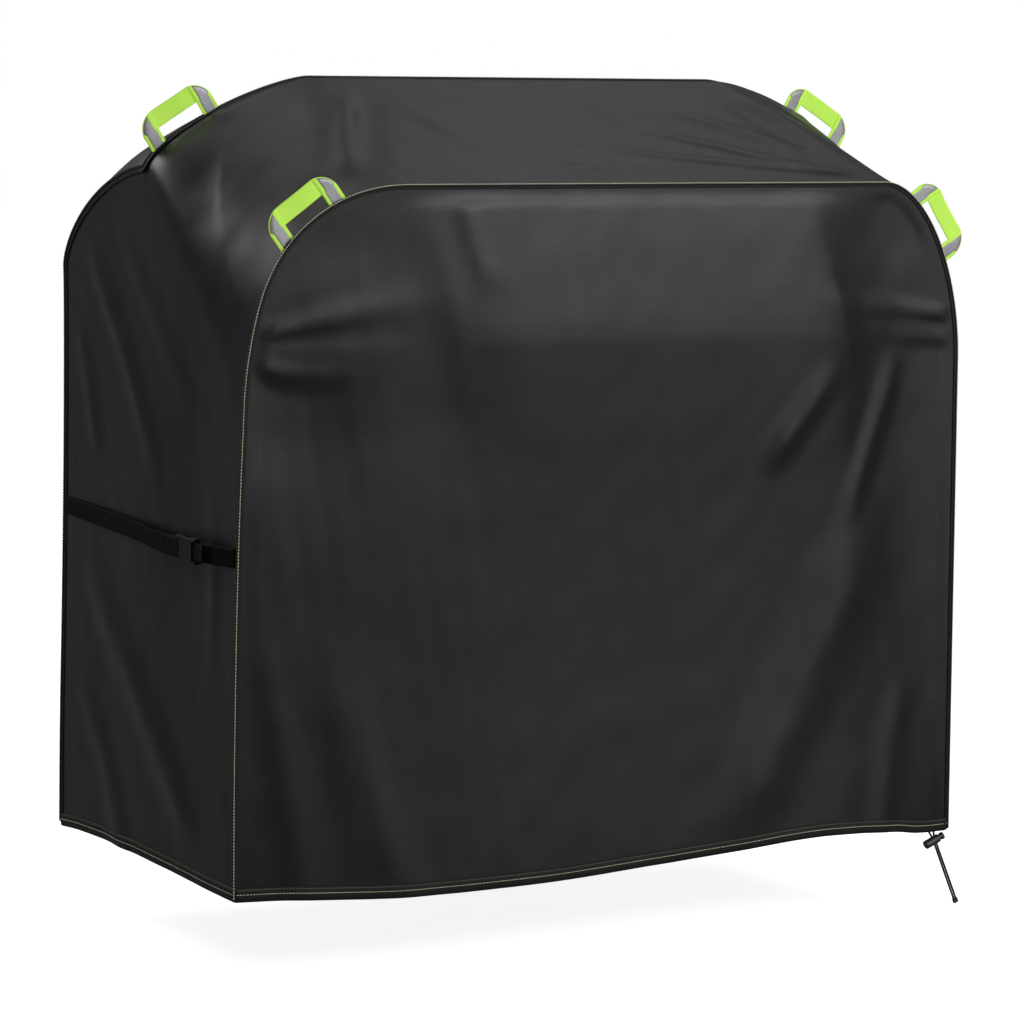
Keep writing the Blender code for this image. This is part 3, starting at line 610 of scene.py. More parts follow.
def corner_curve(size, base):
    """Points (x, z) of a superellipse quarter, from the wall's top to the level top."""
    width, height, roundness = size
    angle = np.linspace(0, pi / 2, OUTLINE_STEPS + 1)
    inward = width * (1 - np.cos(angle).clip(0) ** (2 / roundness))
    rise = base + height * np.sin(angle).clip(0) ** (2 / roundness)
    return np.stack([inward, rise], axis=1)


def top_outline(left, right, top):
    """A cover outline (x, z) from the left wall's top, over, to the right wall's top."""
    first = corner_curve(left, top - left[1])
    last = corner_curve(right, top - right[1])[::-1] * [-1, 1] + [WIDTH, 0]
    level = np.linspace(first[-1], last[0], 111)[1:-1]
    return np.concatenate([first, level, last])


FRONT_OUTLINE = top_outline(FRONT_LEFT_CORNER, FRONT_RIGHT_CORNER, FRONT_HEIGHT)
RIDGE_OUTLINE = top_outline(RIDGE_CORNER, RIDGE_CORNER, HEIGHT)
FRONT_BASE_LEFT = FRONT_HEIGHT - FRONT_LEFT_CORNER[1]
FRONT_BASE_RIGHT = FRONT_HEIGHT - FRONT_RIGHT_CORNER[1]
RIDGE_BASE = HEIGHT - RIDGE_CORNER[1]
RIDGE_START = RIDGE_DEPTH - RIDGE_FLAT


def back_slope(x, top, share):
    angle = pi / 2 * share
    reach = (DEPTH - RIDGE_DEPTH) * np.sin(angle) ** (2 / BACK_SLOPE_ROUNDNESS)
    rise = (top - BACK_WALL_HEIGHT) * np.cos(angle).clip(0) ** (2 / BACK_SLOPE_ROUNDNESS)
    x, y, z = np.broadcast_arrays(x, RIDGE_DEPTH + reach, BACK_WALL_HEIGHT + rise)
    return np.stack([x, y, z], axis=-1)


# ---- How the hem hangs, as a smooth rise and fall round the cover ----

def smooth_profile(knots):
    """A function through (place, value) knots, rounded off between them."""
    places, values = np.array(knots, float).T
    fine = np.linspace(places[0], places[-1], 400)
    line = smooth_line(np.stack([places, values], axis=1), 400)
    return fine, np.interp(fine, line[:, 0], line[:, 1])


HEM_FRONT = smooth_profile([
    (0, -0.001), (0.068, -0.0036), (0.160, -0.0100), (0.245, -0.0140), (0.360, -0.0140),
    (0.483, -0.0115), (0.620, -0.0040), (0.751, 0.0040), (0.889, 0.0125), (1.008, 0.0085),
    (1.065, 0.0015), (WIDTH, 0.0)])
HEM_LEFT = smooth_profile([
    (0, -0.001), (0.10, 0.0005), (0.20, 0.0029), (0.369, 0.0059), (0.520, 0.0035),
    (DEPTH, -0.002)])
HEM_RIGHT = smooth_profile([
    (0, 0.0), (0.08, 0.0), (0.20, 0.0045), (0.34, 0.0070), (0.50, 0.0020), (DEPTH, -0.002)])
HEM_BACK = smooth_profile([
    (0, -0.002), (0.18, 0.0060), (0.42, 0.0010), (0.62, -0.0090), (0.88, 0.0055),
    (WIDTH, -0.002)])


def hem_shift(points):
    """How far the hem's rise and fall moves each point up, fading out with height."""
    x, y, z = points[..., 0], points[..., 1], points[..., 2]
    sides = (
        (y, np.interp(x, *HEM_FRONT)), (x, np.interp(y, *HEM_LEFT)),
        (WIDTH - x, np.interp(y, *HEM_RIGHT)), (DEPTH - y, np.interp(x, *HEM_BACK)))
    total = np.zeros_like(x)
    weight = np.zeros_like(x)
    for distance, value in sides:
        w = 1 / (np.abs(distance) + 0.002) ** 2
        total += w * value
        weight += w
    return total / weight * (1 - smoothstep(0.0, 0.42, z))


LEAN_FRONT = smooth_profile([
    (-0.05, 0.0), (0.10, 0.0004), (0.20, 0.0014), (0.35, 0.0040), (0.45, 0.0068), (0.55, 0.0105),
    (0.63, 0.0142), (0.70, 0.0146), (0.75, 0.0122), (0.80, 0.0070), (0.86, 0.0020), (0.95, 0.0)])
LEAN_REAR = smooth_profile([
    (-0.05, -0.0030), (0.15, -0.0005), (0.30, 0.0030), (0.45, 0.0060), (0.60, 0.0080),
    (0.75, 0.0088), (0.82, 0.0075), (0.90, 0.0030), (0.96, 0.0)])


def lean(points):
    """How far the left side leans in over the narrower grill behind it."""
    x, y, z = points[..., 0], points[..., 1], points[..., 2]
    share = smoothstep(0.0, DEPTH, y)
    amount = np.interp(z, *LEAN_FRONT) * (1 - share) + np.interp(z, *LEAN_REAR) * share
    return amount * (1 - smoothstep(0.0, 0.22, x))


def settle(points):
    """Points moved by the left side's lean and the hem's rise and fall."""
    moved = np.array(points, float)
    moved[..., 0] += lean(points)
    moved[..., 2] += hem_shift(points)
    return moved


# ---- Folds ----

def waves(points, seed, size, stretch):
    """Smooth seeded unevenness between about -1 and 1, features about size across."""
    maker = np.random.default_rng(seed)
    total = np.zeros(points.shape[:-1])
    for _ in range(WAVE_COUNT):
        direction = unit(maker.normal(size=3)) * np.array(stretch)
        pace = maker.uniform(0.6, 1.5) * 2 * pi / size
        total += np.sin(points @ (direction * pace) + maker.uniform(0, 2 * pi))
    return total / sqrt(WAVE_COUNT) * 0.8


def line_places(points, line):
    """Distance from each point to a line and the share of the line where it lies nearest."""
    best = np.full(points.shape[:-1], np.inf)
    share = np.zeros(points.shape[:-1])
    last = len(line) - 1
    for i in range(last):
        a, b = line[i], line[i + 1]
        along = b - a
        t = np.clip(((points - a) @ along) / along.dot(along), 0, 1)
        away = points - (a + t[..., None] * along)
        distance = np.linalg.norm(away, axis=-1)
        nearer = distance < best
        best = np.where(nearer, distance, best)
        share = np.where(nearer, (i + t) / last, share)
    return best, share


def fold(points, route, height, width, taper, spread=0.0):
    """A soft ridge of cloth along a route, with shallow troughs beside it."""
    line = smooth_line(route, 14)
    distance, share = line_places(points, line)
    t = distance / (width * (1 + spread * share))
    profile = (1 - FOLD_TROUGH * t ** 2) * np.exp(-0.5 * t ** 2)
    start = smoothstep(0, taper[0], share) if taper[0] else 1.0
    finish = smoothstep(0, taper[1], 1 - share) if taper[1] else 1.0
    return height * profile * start * finish


def hollow(points, centre, size, depth):
    """A shallow dent in the cloth."""
    away = (points - np.array(centre)) / np.array(size)
    return -depth * np.exp(-0.5 * (away ** 2).sum(axis=-1))


def seam_fade(points, line, near, far):
    """0 at a seam, rising to 1 away from it, so panels stay sewn to their seams."""
    tree = KDTree(len(line))
    for i, place in enumerate(line):
        tree.insert(place, i)
    tree.balance()
    flat = points.reshape(-1, points.shape[-1])
    distance = np.array([tree.find(p)[2] for p in flat]).reshape(points.shape[:-1])
    return smoothstep(near, far, distance)


def front_edges():
    """The front seam all the way round, as (x, 0, z)."""
    left = np.linspace((0, -0.02), (0, FRONT_BASE_LEFT), 130)
    right = np.linspace((WIDTH, FRONT_BASE_RIGHT), (WIDTH, -0.02), 140)
    line = np.concatenate([left, resample(FRONT_OUTLINE, 320), right])
    return np.stack([line[:, 0], np.zeros(len(line)), line[:, 1]], axis=1)


FRONT_SEAM = front_edges()

# Route (x, z), height, width, tapers of its two ends, and how much it widens
FRONT_FOLDS = (
    # Tension folds that fan from the left seam
    (((0.004, 0.731), (0.080, 0.745), (0.190, 0.762), (0.380, 0.780)),
     0.0044, 0.0085, (0.02, 0.75), 2.6),
    (((0.004, 0.716), (0.110, 0.716), (0.230, 0.722), (0.330, 0.735)),
     0.0026, 0.0080, (0.02, 0.7), 1.8),
    (((0.006, 0.700), (0.070, 0.686), (0.150, 0.690), (0.290, 0.716)),
     0.0040, 0.0110, (0.02, 0.65), 2.0),
    # The lid's lower edge, running out to the right seam
    (((1.114, 0.738), (1.050, 0.747), (0.960, 0.757), (0.850, 0.770)),
     0.0046, 0.0090, (0.0, 0.5), 1.2),
    (((1.112, 0.708), (1.000, 0.722), (0.880, 0.735)), 0.0030, 0.0100, (0.0, 0.6), 1.6),
    # Diagonal folds below it on the right
    (((0.780, 0.520), (0.830, 0.580), (0.870, 0.628), (0.915, 0.690)), 0.0050, 0.018, (0.35, 0.35)),
    (((0.925, 0.430), (0.960, 0.530), (0.995, 0.625), (1.022, 0.710)), 0.0046, 0.015, (0.35, 0.3)),
    # Long soft folds near the hem
    (((0.040, 0.400), (0.055, 0.270), (0.075, 0.150), (0.100, 0.000)), 0.0022, 0.024, (0.5, 0.0)),
    (((0.130, 0.360), (0.160, 0.240), (0.195, 0.130), (0.245, 0.000)), 0.0022, 0.030, (0.5, 0.0)),
    (((0.740, 0.000), (0.815, 0.130), (0.890, 0.275), (0.955, 0.430), (0.990, 0.540)),
     0.0070, 0.042, (0.2, 0.35)),
    (((1.000, 0.000), (1.015, 0.120), (1.045, 0.260)), 0.0034, 0.020, (0.0, 0.5)),
    (((0.330, 0.915), (0.345, 0.850), (0.372, 0.775)), 0.0016, 0.016, (0.2, 0.3)),
)
FRONT_HOLLOWS = (
    ((0.085, 0.610), (0.070, 0.050), 0.0060),
    ((0.300, 0.610), (0.060, 0.060), 0.0030),
    ((1.030, 0.590), (0.055, 0.110), 0.0070),
    ((1.060, 0.330), (0.045, 0.140), 0.0045),
    ((0.150, 0.850), (0.070, 0.040), 0.0050),
    ((0.985, 0.850), (0.050, 0.045), 0.0050),
)

# How far the lid and the side shelves push the front out, by level
LID_PUSH = smooth_profile([
    (-0.05, 0.0200), (0.00, 0.0175), (0.05, 0.0150), (0.12, 0.0114), (0.20, 0.0082), (0.28, 0.0064),
    (0.38, 0.0066), (0.46, 0.0086), (0.54, 0.0122), (0.60, 0.0160), (0.65, 0.0190), (0.69, 0.0214),
    (0.712, 0.0228), (0.722, 0.0230), (0.732, 0.0224), (0.755, 0.0204), (0.85, 0.0100), (0.93, 0.0)])
SHELF_PUSH = smooth_profile([
    (-0.05, 0.0200), (0.00, 0.0175), (0.05, 0.0150), (0.12, 0.0114), (0.20, 0.0082), (0.28, 0.0064),
    (0.42, 0.0070), (0.60, 0.0120), (0.71, 0.0160), (0.80, 0.0130), (0.93, 0.0)])


def front_relief(points):
    """How far the front panel stands out of its plane."""
    x, z = points[..., 0], points[..., 2]
    flat = np.stack([x, z], axis=-1)
    left_edge = np.minimum(0.285 + (FRONT_HEIGHT - z) * 0.22, 0.340)
    right_edge = np.minimum(0.858 + (FRONT_HEIGHT - z) * 0.30, 0.925)
    rise = np.clip(x / left_edge, 0, 1)
    fall = np.clip((WIDTH - x) / (WIDTH - right_edge), 0, 1)
    above = smoothstep(0.62, 0.72, z)
    plateau = soft_minimum(rise ** (0.95 + 0.55 * above), fall ** (1.0 + 0.9 * above))
    ramp = np.interp(z, *LID_PUSH)
    ramp_soft = np.interp(z, *SHELF_PUSH)
    centre = smoothstep(-0.06, 0.08, x - left_edge) * (1 - smoothstep(-0.03, 0.05, x - right_edge))
    relief = (ramp * centre + ramp_soft * (1 - centre)) * plateau
    relief -= 0.0015 * np.sin(pi * fall) * smoothstep(0.30, 0.45, z) * (fall < 1)
    for route, height, width, taper, *spread in FRONT_FOLDS:
        relief += fold(flat, route, height, width, taper, *spread)
    for centre_place, size, depth in FRONT_HOLLOWS:
        relief += hollow(flat, centre_place, size, depth)
    relief += 0.0009 * waves(points, 5, 0.26, (1.2, 1, 0.55))
    relief += 0.0003 * waves(points, 6, 0.060, (1.0, 1, 0.6))
    return relief * seam_fade(points, FRONT_SEAM, 0.003, 0.030)


def soft_minimum(a, b):
    """The smaller of two values, and of 1, rounded off where they meet."""
    low = np.minimum(np.minimum(a, b), 1.0)
    short = np.clip((low - (1 - SOFT_REACH)) / SOFT_REACH, 0, 1)
    return low - SOFT_REACH * short ** 2 / 2


def coons(bottom, top, left, right):
    """A grid between four edges: rows go up from the bottom edge to the top edge."""
    rows, columns = len(left), len(bottom)
    s = np.linspace(0, 1, columns)[None, :, None]
    t = np.linspace(0, 1, rows)[:, None, None]
    ruled = (1 - t) * bottom[None] + t * top[None] + (1 - s) * left[:, None] + s * right[:, None]
    corners = ((1 - s) * (1 - t) * bottom[0] + s * (1 - t) * bottom[-1]
               + (1 - s) * t * top[0] + s * t * top[-1])
    return ruled - corners


def make_front_sheet():
    half = OUTLINE_STEPS // 2
    rows, columns = 170, 220
    left = np.concatenate([[(0, 0)], FRONT_OUTLINE[:half + 1]])
    right = np.concatenate([[(WIDTH, 0)], FRONT_OUTLINE[::-1][:half + 1]])
    top = FRONT_OUTLINE[half:len(FRONT_OUTLINE) - half]
    bottom = np.array([(0, 0), (WIDTH, 0)], float)
    grid = coons(resample(bottom, columns), resample(top, columns),
                 resample(left, rows), resample(right, rows))
    points = np.stack([grid[..., 0], np.full(grid.shape[:2], 0.0004), grid[..., 1]], axis=-1)
    shaped = settle(points)
    shaped[..., 1] -= front_relief(points)
    obj = link_mesh("front_panel_cloth", shaped, grid_faces(rows, columns), grid, CLOTH_MAT)
    return place_piece(obj, "cover_cloth", "front_panel")


# ---- The gusset: left wall, roof and right wall as one strip ----

# How far from the shoulders' edge the strip is eased, and how often
SHOULDER_REACH = 0.095
SHOULDER_ROUNDS = 100
# Route (x, y, z), height, width and the tapers of its two ends
GUSSET_FOLDS = (
    # Left wall, from the rear shoulder down and forward
    (((0, 0.530, 0.850), (0, 0.462, 0.782), (0, 0.390, 0.700), (0, 0.310, 0.590), (0, 0.255, 0.480)),
     0.0056, 0.020, (0.25, 0.4)),
    (((0, 0.400, 0.860), (0, 0.310, 0.770), (0, 0.220, 0.680), (0, 0.150, 0.590)),
     0.0026, 0.020, (0.3, 0.4)),
    (((0, 0.560, 0.740), (0, 0.510, 0.630), (0, 0.470, 0.500)), 0.0030, 0.018, (0.3, 0.4)),
    (((0, 0.550, 0.425), (0, 0.440, 0.325), (0, 0.320, 0.225), (0, 0.205, 0.125), (0, 0.105, 0.030)),
     0.0062, 0.030, (0.3, 0.2)),
    (((0, 0.570, 0.250), (0, 0.450, 0.130), (0, 0.370, 0.000)), 0.0036, 0.024, (0.4, 0.0)),
    (((0, 0.105, 0.560), (0, 0.085, 0.420), (0, 0.080, 0.250)), 0.0024, 0.018, (0.4, 0.4)),
    # Left shoulder, fanning from the ridge's left end
    (((0.190, 0.240, 1.040), (0.100, 0.160, 0.955), (0.035, 0.115, 0.860), (0.006, 0.090, 0.770)),
     0.0010, 0.024, (0.35, 0.4)),
    (((0.120, 0.235, 1.008), (0.062, 0.176, 0.935), (0.012, 0.140, 0.840)),
     0.0006, 0.020, (0.25, 0.4)),
    (((0.225, 0.238, 1.054), (0.140, 0.135, 0.965), (0.072, 0.070, 0.872)),
     0.0010, 0.022, (0.2, 0.4)),
    (((0.262, 0.248, 1.058), (0.193, 0.160, 1.004), (0.130, 0.078, 0.932), (0.095, 0.030, 0.890)),
     0.0024, 0.024, (0.40, 0.3)),
    (((0.282, 0.240, 1.054), (0.216, 0.125, 0.986), (0.174, 0.030, 0.930)),
     0.0036, 0.013, (0.35, 0.2)),
    (((0.306, 0.235, 1.050), (0.252, 0.120, 0.985), (0.218, 0.030, 0.936)),
     -0.0026, 0.018, (0.35, 0.25)),
    # Front slope, long faint wrinkles that converge to the right
    (((0.520, 0.130, 0.990), (0.645, 0.084, 0.970), (0.758, 0.059, 0.957), (0.959, 0.016, 0.934)),
     0.0022, 0.0085, (0.35, 0.15)),
    (((0.640, 0.160, 1.010), (0.756, 0.109, 0.983), (0.881, 0.046, 0.950), (0.985, 0.012, 0.931)),
     0.0024, 0.0090, (0.35, 0.15)),
    (((0.420, 0.060, 0.956), (0.560, 0.045, 0.949), (0.760, 0.022, 0.937)),
     0.0014, 0.009, (0.3, 0.3)),
    (((0.720, 0.210, 1.040), (0.850, 0.130, 0.990), (0.960, 0.060, 0.945)),
     0.0022, 0.013, (0.3, 0.25)),
    (((0.330, 0.215, 1.040), (0.390, 0.120, 0.985), (0.470, 0.040, 0.945)),
     0.0018, 0.018, (0.2, 0.4)),
    # Right shoulder
    (((0.878, 0.245, 1.055), (0.945, 0.160, 0.998), (0.995, 0.080, 0.938), (1.030, 0.030, 0.895)),
     0.0036, 0.018, (0.35, 0.3)),
    (((0.930, 0.250, 1.046), (1.010, 0.170, 0.965), (1.075, 0.110, 0.860)),
     0.0028, 0.016, (0.2, 0.4)),
    (((0.850, 0.240, 1.055), (0.900, 0.130, 0.988), (0.930, 0.045, 0.940)),
     -0.0020, 0.018, (0.35, 0.3)),
    # Right wall
    (((WIDTH, 0.530, 0.840), (WIDTH, 0.430, 0.720), (WIDTH, 0.330, 0.580), (WIDTH, 0.260, 0.480)),
     0.0056, 0.021, (0.2, 0.35)),
    (((WIDTH, 0.420, 0.860), (WIDTH, 0.300, 0.740), (WIDTH, 0.190, 0.640)),
     0.0030, 0.019, (0.3, 0.4)),
    (((WIDTH, 0.550, 0.400), (WIDTH, 0.380, 0.270), (WIDTH, 0.230, 0.140), (WIDTH, 0.120, 0.020)),
     0.0060, 0.029, (0.3, 0.2)),
    (((WIDTH, 0.120, 0.620), (WIDTH, 0.090, 0.450), (WIDTH, 0.100, 0.280)),
     0.0030, 0.019, (0.4, 0.4)),
)


def gusset_seams():
    """Both seams of the gusset, as points to keep its edges on."""
    left_rise = [(0, DEPTH, z) for z in np.linspace(-0.02, BACK_WALL_HEIGHT, 160)]
    slope = back_slope(0.0, RIDGE_BASE, np.linspace(1, 0, 80))
    over = resample(RIDGE_OUTLINE, 320)
    ridge = np.stack([over[:, 0], np.full(len(over), RIDGE_DEPTH), over[:, 1]], axis=1)
    left = np.concatenate([left_rise, slope])
    right = left * [-1, 1, 1] + [WIDTH, 0, 0]
    return np.concatenate([left, ridge, right[::-1]])


BACK_SEAM = gusset_seams()
ALL_SEAMS = np.concatenate([FRONT_SEAM, BACK_SEAM])


def gusset_relief(points):
    relief = np.zeros(points.shape[:-1])
    for route, height, width, taper in GUSSET_FOLDS:
        relief += fold(points, route, height, width, taper)
    relief += hollow(points, (0, 0.290, 0.790), (0.1, 0.090, 0.060), 0.0020)
    relief += hollow(points, (0, 0.150, 0.520), (0.2, 0.060, 0.130), 0.0050)
    relief += hollow(points, (WIDTH, 0.300, 0.790), (0.1, 0.090, 0.060), 0.0034)
    relief += hollow(points, (WIDTH, 0.200, 0.500), (0.2, 0.080, 0.130), 0.0050)
    relief += hollow(points, (0.600, 0.130, 0.995), (0.200, 0.070, 0.2), 0.0060)
    relief += 0.0008 * waves(points, 15, 0.24, (1, 1, 0.6))
    relief += 0.0003 * waves(points, 16, 0.060, (1, 1, 0.7))
    return relief * seam_fade(points, ALL_SEAMS, 0.005, 0.034)


def wall_patch(base, x):
    """Grid of a side wall (y, z): columns go back, rows go up to the roof or the rear seam."""
    level = np.linspace(0.0008, RIDGE_DEPTH, 62)
    slope = back_slope(0.0, RIDGE_BASE, np.linspace(0, 1, 66)[1:])
    ys = np.concatenate([level, slope[:, 1]])
    climb = base + (RIDGE_BASE - base) * np.minimum(level / RIDGE_START, 1)
    tops = np.concatenate([climb, slope[:, 2]])
    rows = 165
    share = np.linspace(0, 1, rows)[:, None]
    z = share * tops[None, :]
    y = np.broadcast_to(ys, z.shape)
    return np.stack([np.full(z.shape, x), y, z], axis=-1), len(level)


def round_shoulders(bm):
    """Ease the strip over its shoulders, where the walls turn into the roof."""
    places = np.array([v.co[:] for v in bm.verts]) - ORIGIN
    x, y, z = places.T
    base = np.where(x < WIDTH / 2, FRONT_BASE_LEFT, FRONT_BASE_RIGHT)
    top = base + (RIDGE_BASE - base) * np.minimum(y / RIDGE_START, 1)
    beside = np.minimum(x, WIDTH - x)
    near = (np.abs(z - top) < SHOULDER_REACH) & (beside < SHOULDER_REACH) & (y < RIDGE_DEPTH - 0.001)
    shoulder = [v for v, close in zip(bm.verts, near) if close and not v.is_boundary]
    for _ in range(SHOULDER_ROUNDS):
        bmesh.ops.smooth_vert(
            bm, verts=shoulder, factor=0.5, use_axis_x=True, use_axis_y=False, use_axis_z=True)


def make_gusset():
    left, level_count = wall_patch(FRONT_BASE_LEFT, 0.0)
    right, _ = wall_patch(FRONT_BASE_RIGHT, WIDTH)
    ys = left[0, :level_count, 1]
    share = np.minimum(ys / RIDGE_START, 1)[:, None, None]
    section = FRONT_OUTLINE[None] + (RIDGE_OUTLINE - FRONT_OUTLINE)[None] * share
    roof = np.stack([section[..., 0], np.broadcast_to(ys[:, None], section.shape[:2]),
                     section[..., 1]], axis=-1)
    parts = []
    faces = []
    flats = []
    first = 0
    over = np.concatenate([np.zeros((roof.shape[0], 1)), np.cumsum(
        np.linalg.norm(np.diff(roof, axis=1), axis=2), axis=1)], axis=1)
    for grid, flat, flip in (
            (left, np.stack([left[..., 1], left[..., 2]], axis=-1), True),
            (roof, np.stack([roof[..., 1], RIDGE_BASE + over], axis=-1), False),
            (right, np.stack([right[..., 1] + 2.0, right[..., 2]], axis=-1), False)):
        rows, columns = grid.shape[:2]
        parts.append(grid.reshape(-1, 3))
        flats.append(flat.reshape(-1, 2))
        faces.append(grid_faces(rows, columns, first, flip))
        first += rows * columns
    obj = link_mesh("side_and_roof_strip", np.concatenate(parts), np.concatenate(faces),
                    np.concatenate(flats), CLOTH_MAT)
    weld(obj, 1e-5, round_shoulders)
    move_out(obj, gusset_relief)
    return place_piece(obj, "cover_cloth", "left_side_wall", "roof_panel", "right_side_wall")


def move_out(obj, relief):
    """Push a panel's points along its own outward normals, then hang its hem."""
    mesh = obj.data
    count = len(mesh.vertices)
    world = np.empty(count * 3)
    mesh.vertices.foreach_get("co", world)
    normals = np.array([v.normal[:] for v in mesh.vertices])
    points = world.reshape(-1, 3) - ORIGIN
    middle = np.array([WIDTH / 2, RIDGE_DEPTH, 0.45])
    if ((points - middle) * normals).sum() < 0:
        normals = -normals
        mesh.flip_normals()
    moved = settle(points) + normals * relief(points)[:, None]
    mesh.vertices.foreach_set("co", (moved + ORIGIN).ravel())
    mesh.update()
    mesh.shade_smooth()


# ---- The back panel: slope and wall as one sheet ----

# Route (x, y, z), height, width and the tapers of its two ends
BACK_FOLDS = (
    (((0.080, DEPTH, 0.760), (0.170, DEPTH, 0.660), (0.260, DEPTH, 0.520)),
     0.0062, 0.018, (0.2, 0.4)),
    (((0.030, DEPTH, 0.640), (0.150, DEPTH, 0.560), (0.290, DEPTH, 0.420)),
     0.0046, 0.018, (0.2, 0.4)),
    (((1.040, DEPTH, 0.770), (0.950, DEPTH, 0.660), (0.880, DEPTH, 0.500)),
     0.0062, 0.018, (0.2, 0.4)),
    (((1.085, DEPTH, 0.620), (0.980, DEPTH, 0.500), (0.900, DEPTH, 0.330)),
     0.0046, 0.019, (0.2, 0.4)),
    (((0.240, DEPTH, 0.330), (0.300, DEPTH, 0.180), (0.330, DEPTH, 0.000)),
     0.0060, 0.026, (0.4, 0.0)),
    (((0.520, DEPTH, 0.420), (0.560, DEPTH, 0.230), (0.575, DEPTH, 0.000)),
     0.0058, 0.030, (0.4, 0.0)),
    (((0.860, DEPTH, 0.300), (0.820, DEPTH, 0.160), (0.810, DEPTH, 0.000)),
     0.0060, 0.025, (0.4, 0.0)),
    (((0.330, DEPTH, 0.770), (0.560, DEPTH, 0.755), (0.800, DEPTH, 0.772)),
     0.0044, 0.016, (0.3, 0.3)),
    (((0.250, 0.320, 1.040), (0.200, 0.430, 0.950), (0.170, 0.540, 0.860)),
     0.0050, 0.014, (0.15, 0.3)),
    (((0.300, 0.330, 1.040), (0.290, 0.450, 0.960), (0.310, 0.550, 0.870)),
     0.0034, 0.013, (0.15, 0.4)),
    (((0.870, 0.320, 1.040), (0.920, 0.430, 0.950), (0.950, 0.540, 0.860)),
     0.0050, 0.014, (0.15, 0.3)),
    (((0.820, 0.330, 1.040), (0.830, 0.450, 0.960), (0.800, 0.550, 0.870)),
     0.0034, 0.013, (0.15, 0.4)),
    (((0.400, 0.400, 1.000), (0.560, 0.430, 0.985), (0.720, 0.400, 1.000)),
     0.0026, 0.018, (0.4, 0.4)),
)


def back_relief(points):
    relief = np.zeros(points.shape[:-1])
    for route, height, width, taper in BACK_FOLDS:
        relief += fold(points, route, height, width, taper)
    relief += hollow(points, (0.560, DEPTH, 0.560), (0.200, 0.2, 0.110), 0.0080)
    relief += hollow(points, (0.560, 0.450, 0.960), (0.180, 0.090, 0.2), 0.0060)
    relief += 0.0070 * (1 - smoothstep(0.0, 0.42, points[..., 2]))
    relief += 0.0012 * waves(points, 25, 0.24, (1, 1, 0.6))
    relief += 0.0003 * waves(points, 26, 0.060, (1, 1, 0.7))
    return relief * seam_fade(points, BACK_SEAM, 0.005, 0.036)


def make_back_sheet():
    top = resample(RIDGE_OUTLINE, 230)
    shares = np.linspace(0, 1, 66)
    slope = back_slope(top[None, :, 0], top[None, :, 1], shares[:, None])
    drop = np.linspace(BACK_WALL_HEIGHT, 0, 140)[1:]
    wall = np.stack(np.broadcast_arrays(
        top[None, :, 0], np.full((1, 1), DEPTH), drop[:, None]), axis=-1)
    grid = np.concatenate([slope, wall])
    lengths = np.cumsum(np.linalg.norm(np.diff(grid, axis=0, prepend=grid[:1]), axis=2), axis=0)
    flat = np.stack([grid[..., 0], -lengths], axis=-1)
    obj = link_mesh("back_panel_cloth", grid, grid_faces(*grid.shape[:2]), flat, CLOTH_MAT)
    move_out(obj, back_relief)
    return place_piece(obj, "cover_cloth", "back_wall", "back_slope")


# ---- Seams: a dark piping, a narrow binding on the strip's side and two rows of thread ----

def plane_outward(line):
    """Outward normals along a seam that lies in an upright plane across the cover."""
    outward = unit(np.cross(BACKWARD, unit(np.gradient(line, axis=0))))
    flip = ((line - np.array([WIDTH / 2, 0.0, MIDDLE_HEIGHT])) * outward).sum(axis=1) < 0
    outward[flip] *= -1
    return outward


def smooth_vectors(vectors, reach=9):
    kernel = np.hanning(2 * reach + 3)[1:-1]
    kernel /= kernel.sum()
    padded = np.pad(vectors, ((reach, reach), (0, 0)), mode="edge")
    return unit(np.stack([np.convolve(padded[:, k], kernel, "valid") for k in range(3)], axis=1))


def strip_along(name, line, across, normal, width, lift):
    """A narrow binding laid on a panel beside a seam."""
    steps = np.linspace(0, width, 7)
    grid = line[:, None, :] + across[:, None, :] * steps[None, :, None] + normal[:, None, :] * lift
    uv = np.stack(np.meshgrid(steps, arc_length(line)), axis=-1)
    return shell(name, grid, BINDING_THICK, BINDING_MAT, uv, edge=0.35)


def seam_parts(name, line, outward, into_strip, into_panel, panel_normal, threads):
    """The piping with its bindings and stitches, riding on the cover's body."""
    crest = line + outward * PIPING_LIFT
    piping = tube_mesh(f"{name}_piping_cloth", crest, PIPING_RADIUS, BINDING_MAT, 10)
    place_piece(piping, "seam_binding", f"{name}_piping")
    place_piece(strip_along(
        f"{name}_binding", line, into_strip, outward, *BINDING_PLACE), "seam_binding")
    place_piece(strip_along(
        f"{name}_lip", line, into_panel, panel_normal, *LIP_PLACE), "seam_binding")
    facing = unit(outward + panel_normal)
    place_piece(stitch_row(
        f"{name}_crest_thread", crest + facing * CREST_LIFT, facing, threads[0], CREST_STITCH),
        "lime_webbing")
    inner = line + into_strip * EDGE_INSET + outward * EDGE_LIFT
    place_piece(stitch_row(
        f"{name}_edge_thread", inner, outward, threads[1], EDGE_STITCH), "lime_webbing")


def make_front_seam():
    line = resample(FRONT_SEAM[FRONT_SEAM[:, 2] > 0.001], 900)
    line[0, 2] = line[-1, 2] = 0.002
    line = settle(line)
    outward = plane_outward(line)
    back = np.broadcast_to(BACKWARD, line.shape)
    seam_parts("front_seam", line, outward, back, -outward, -back, (CREAM_MAT, GREEN_MAT))


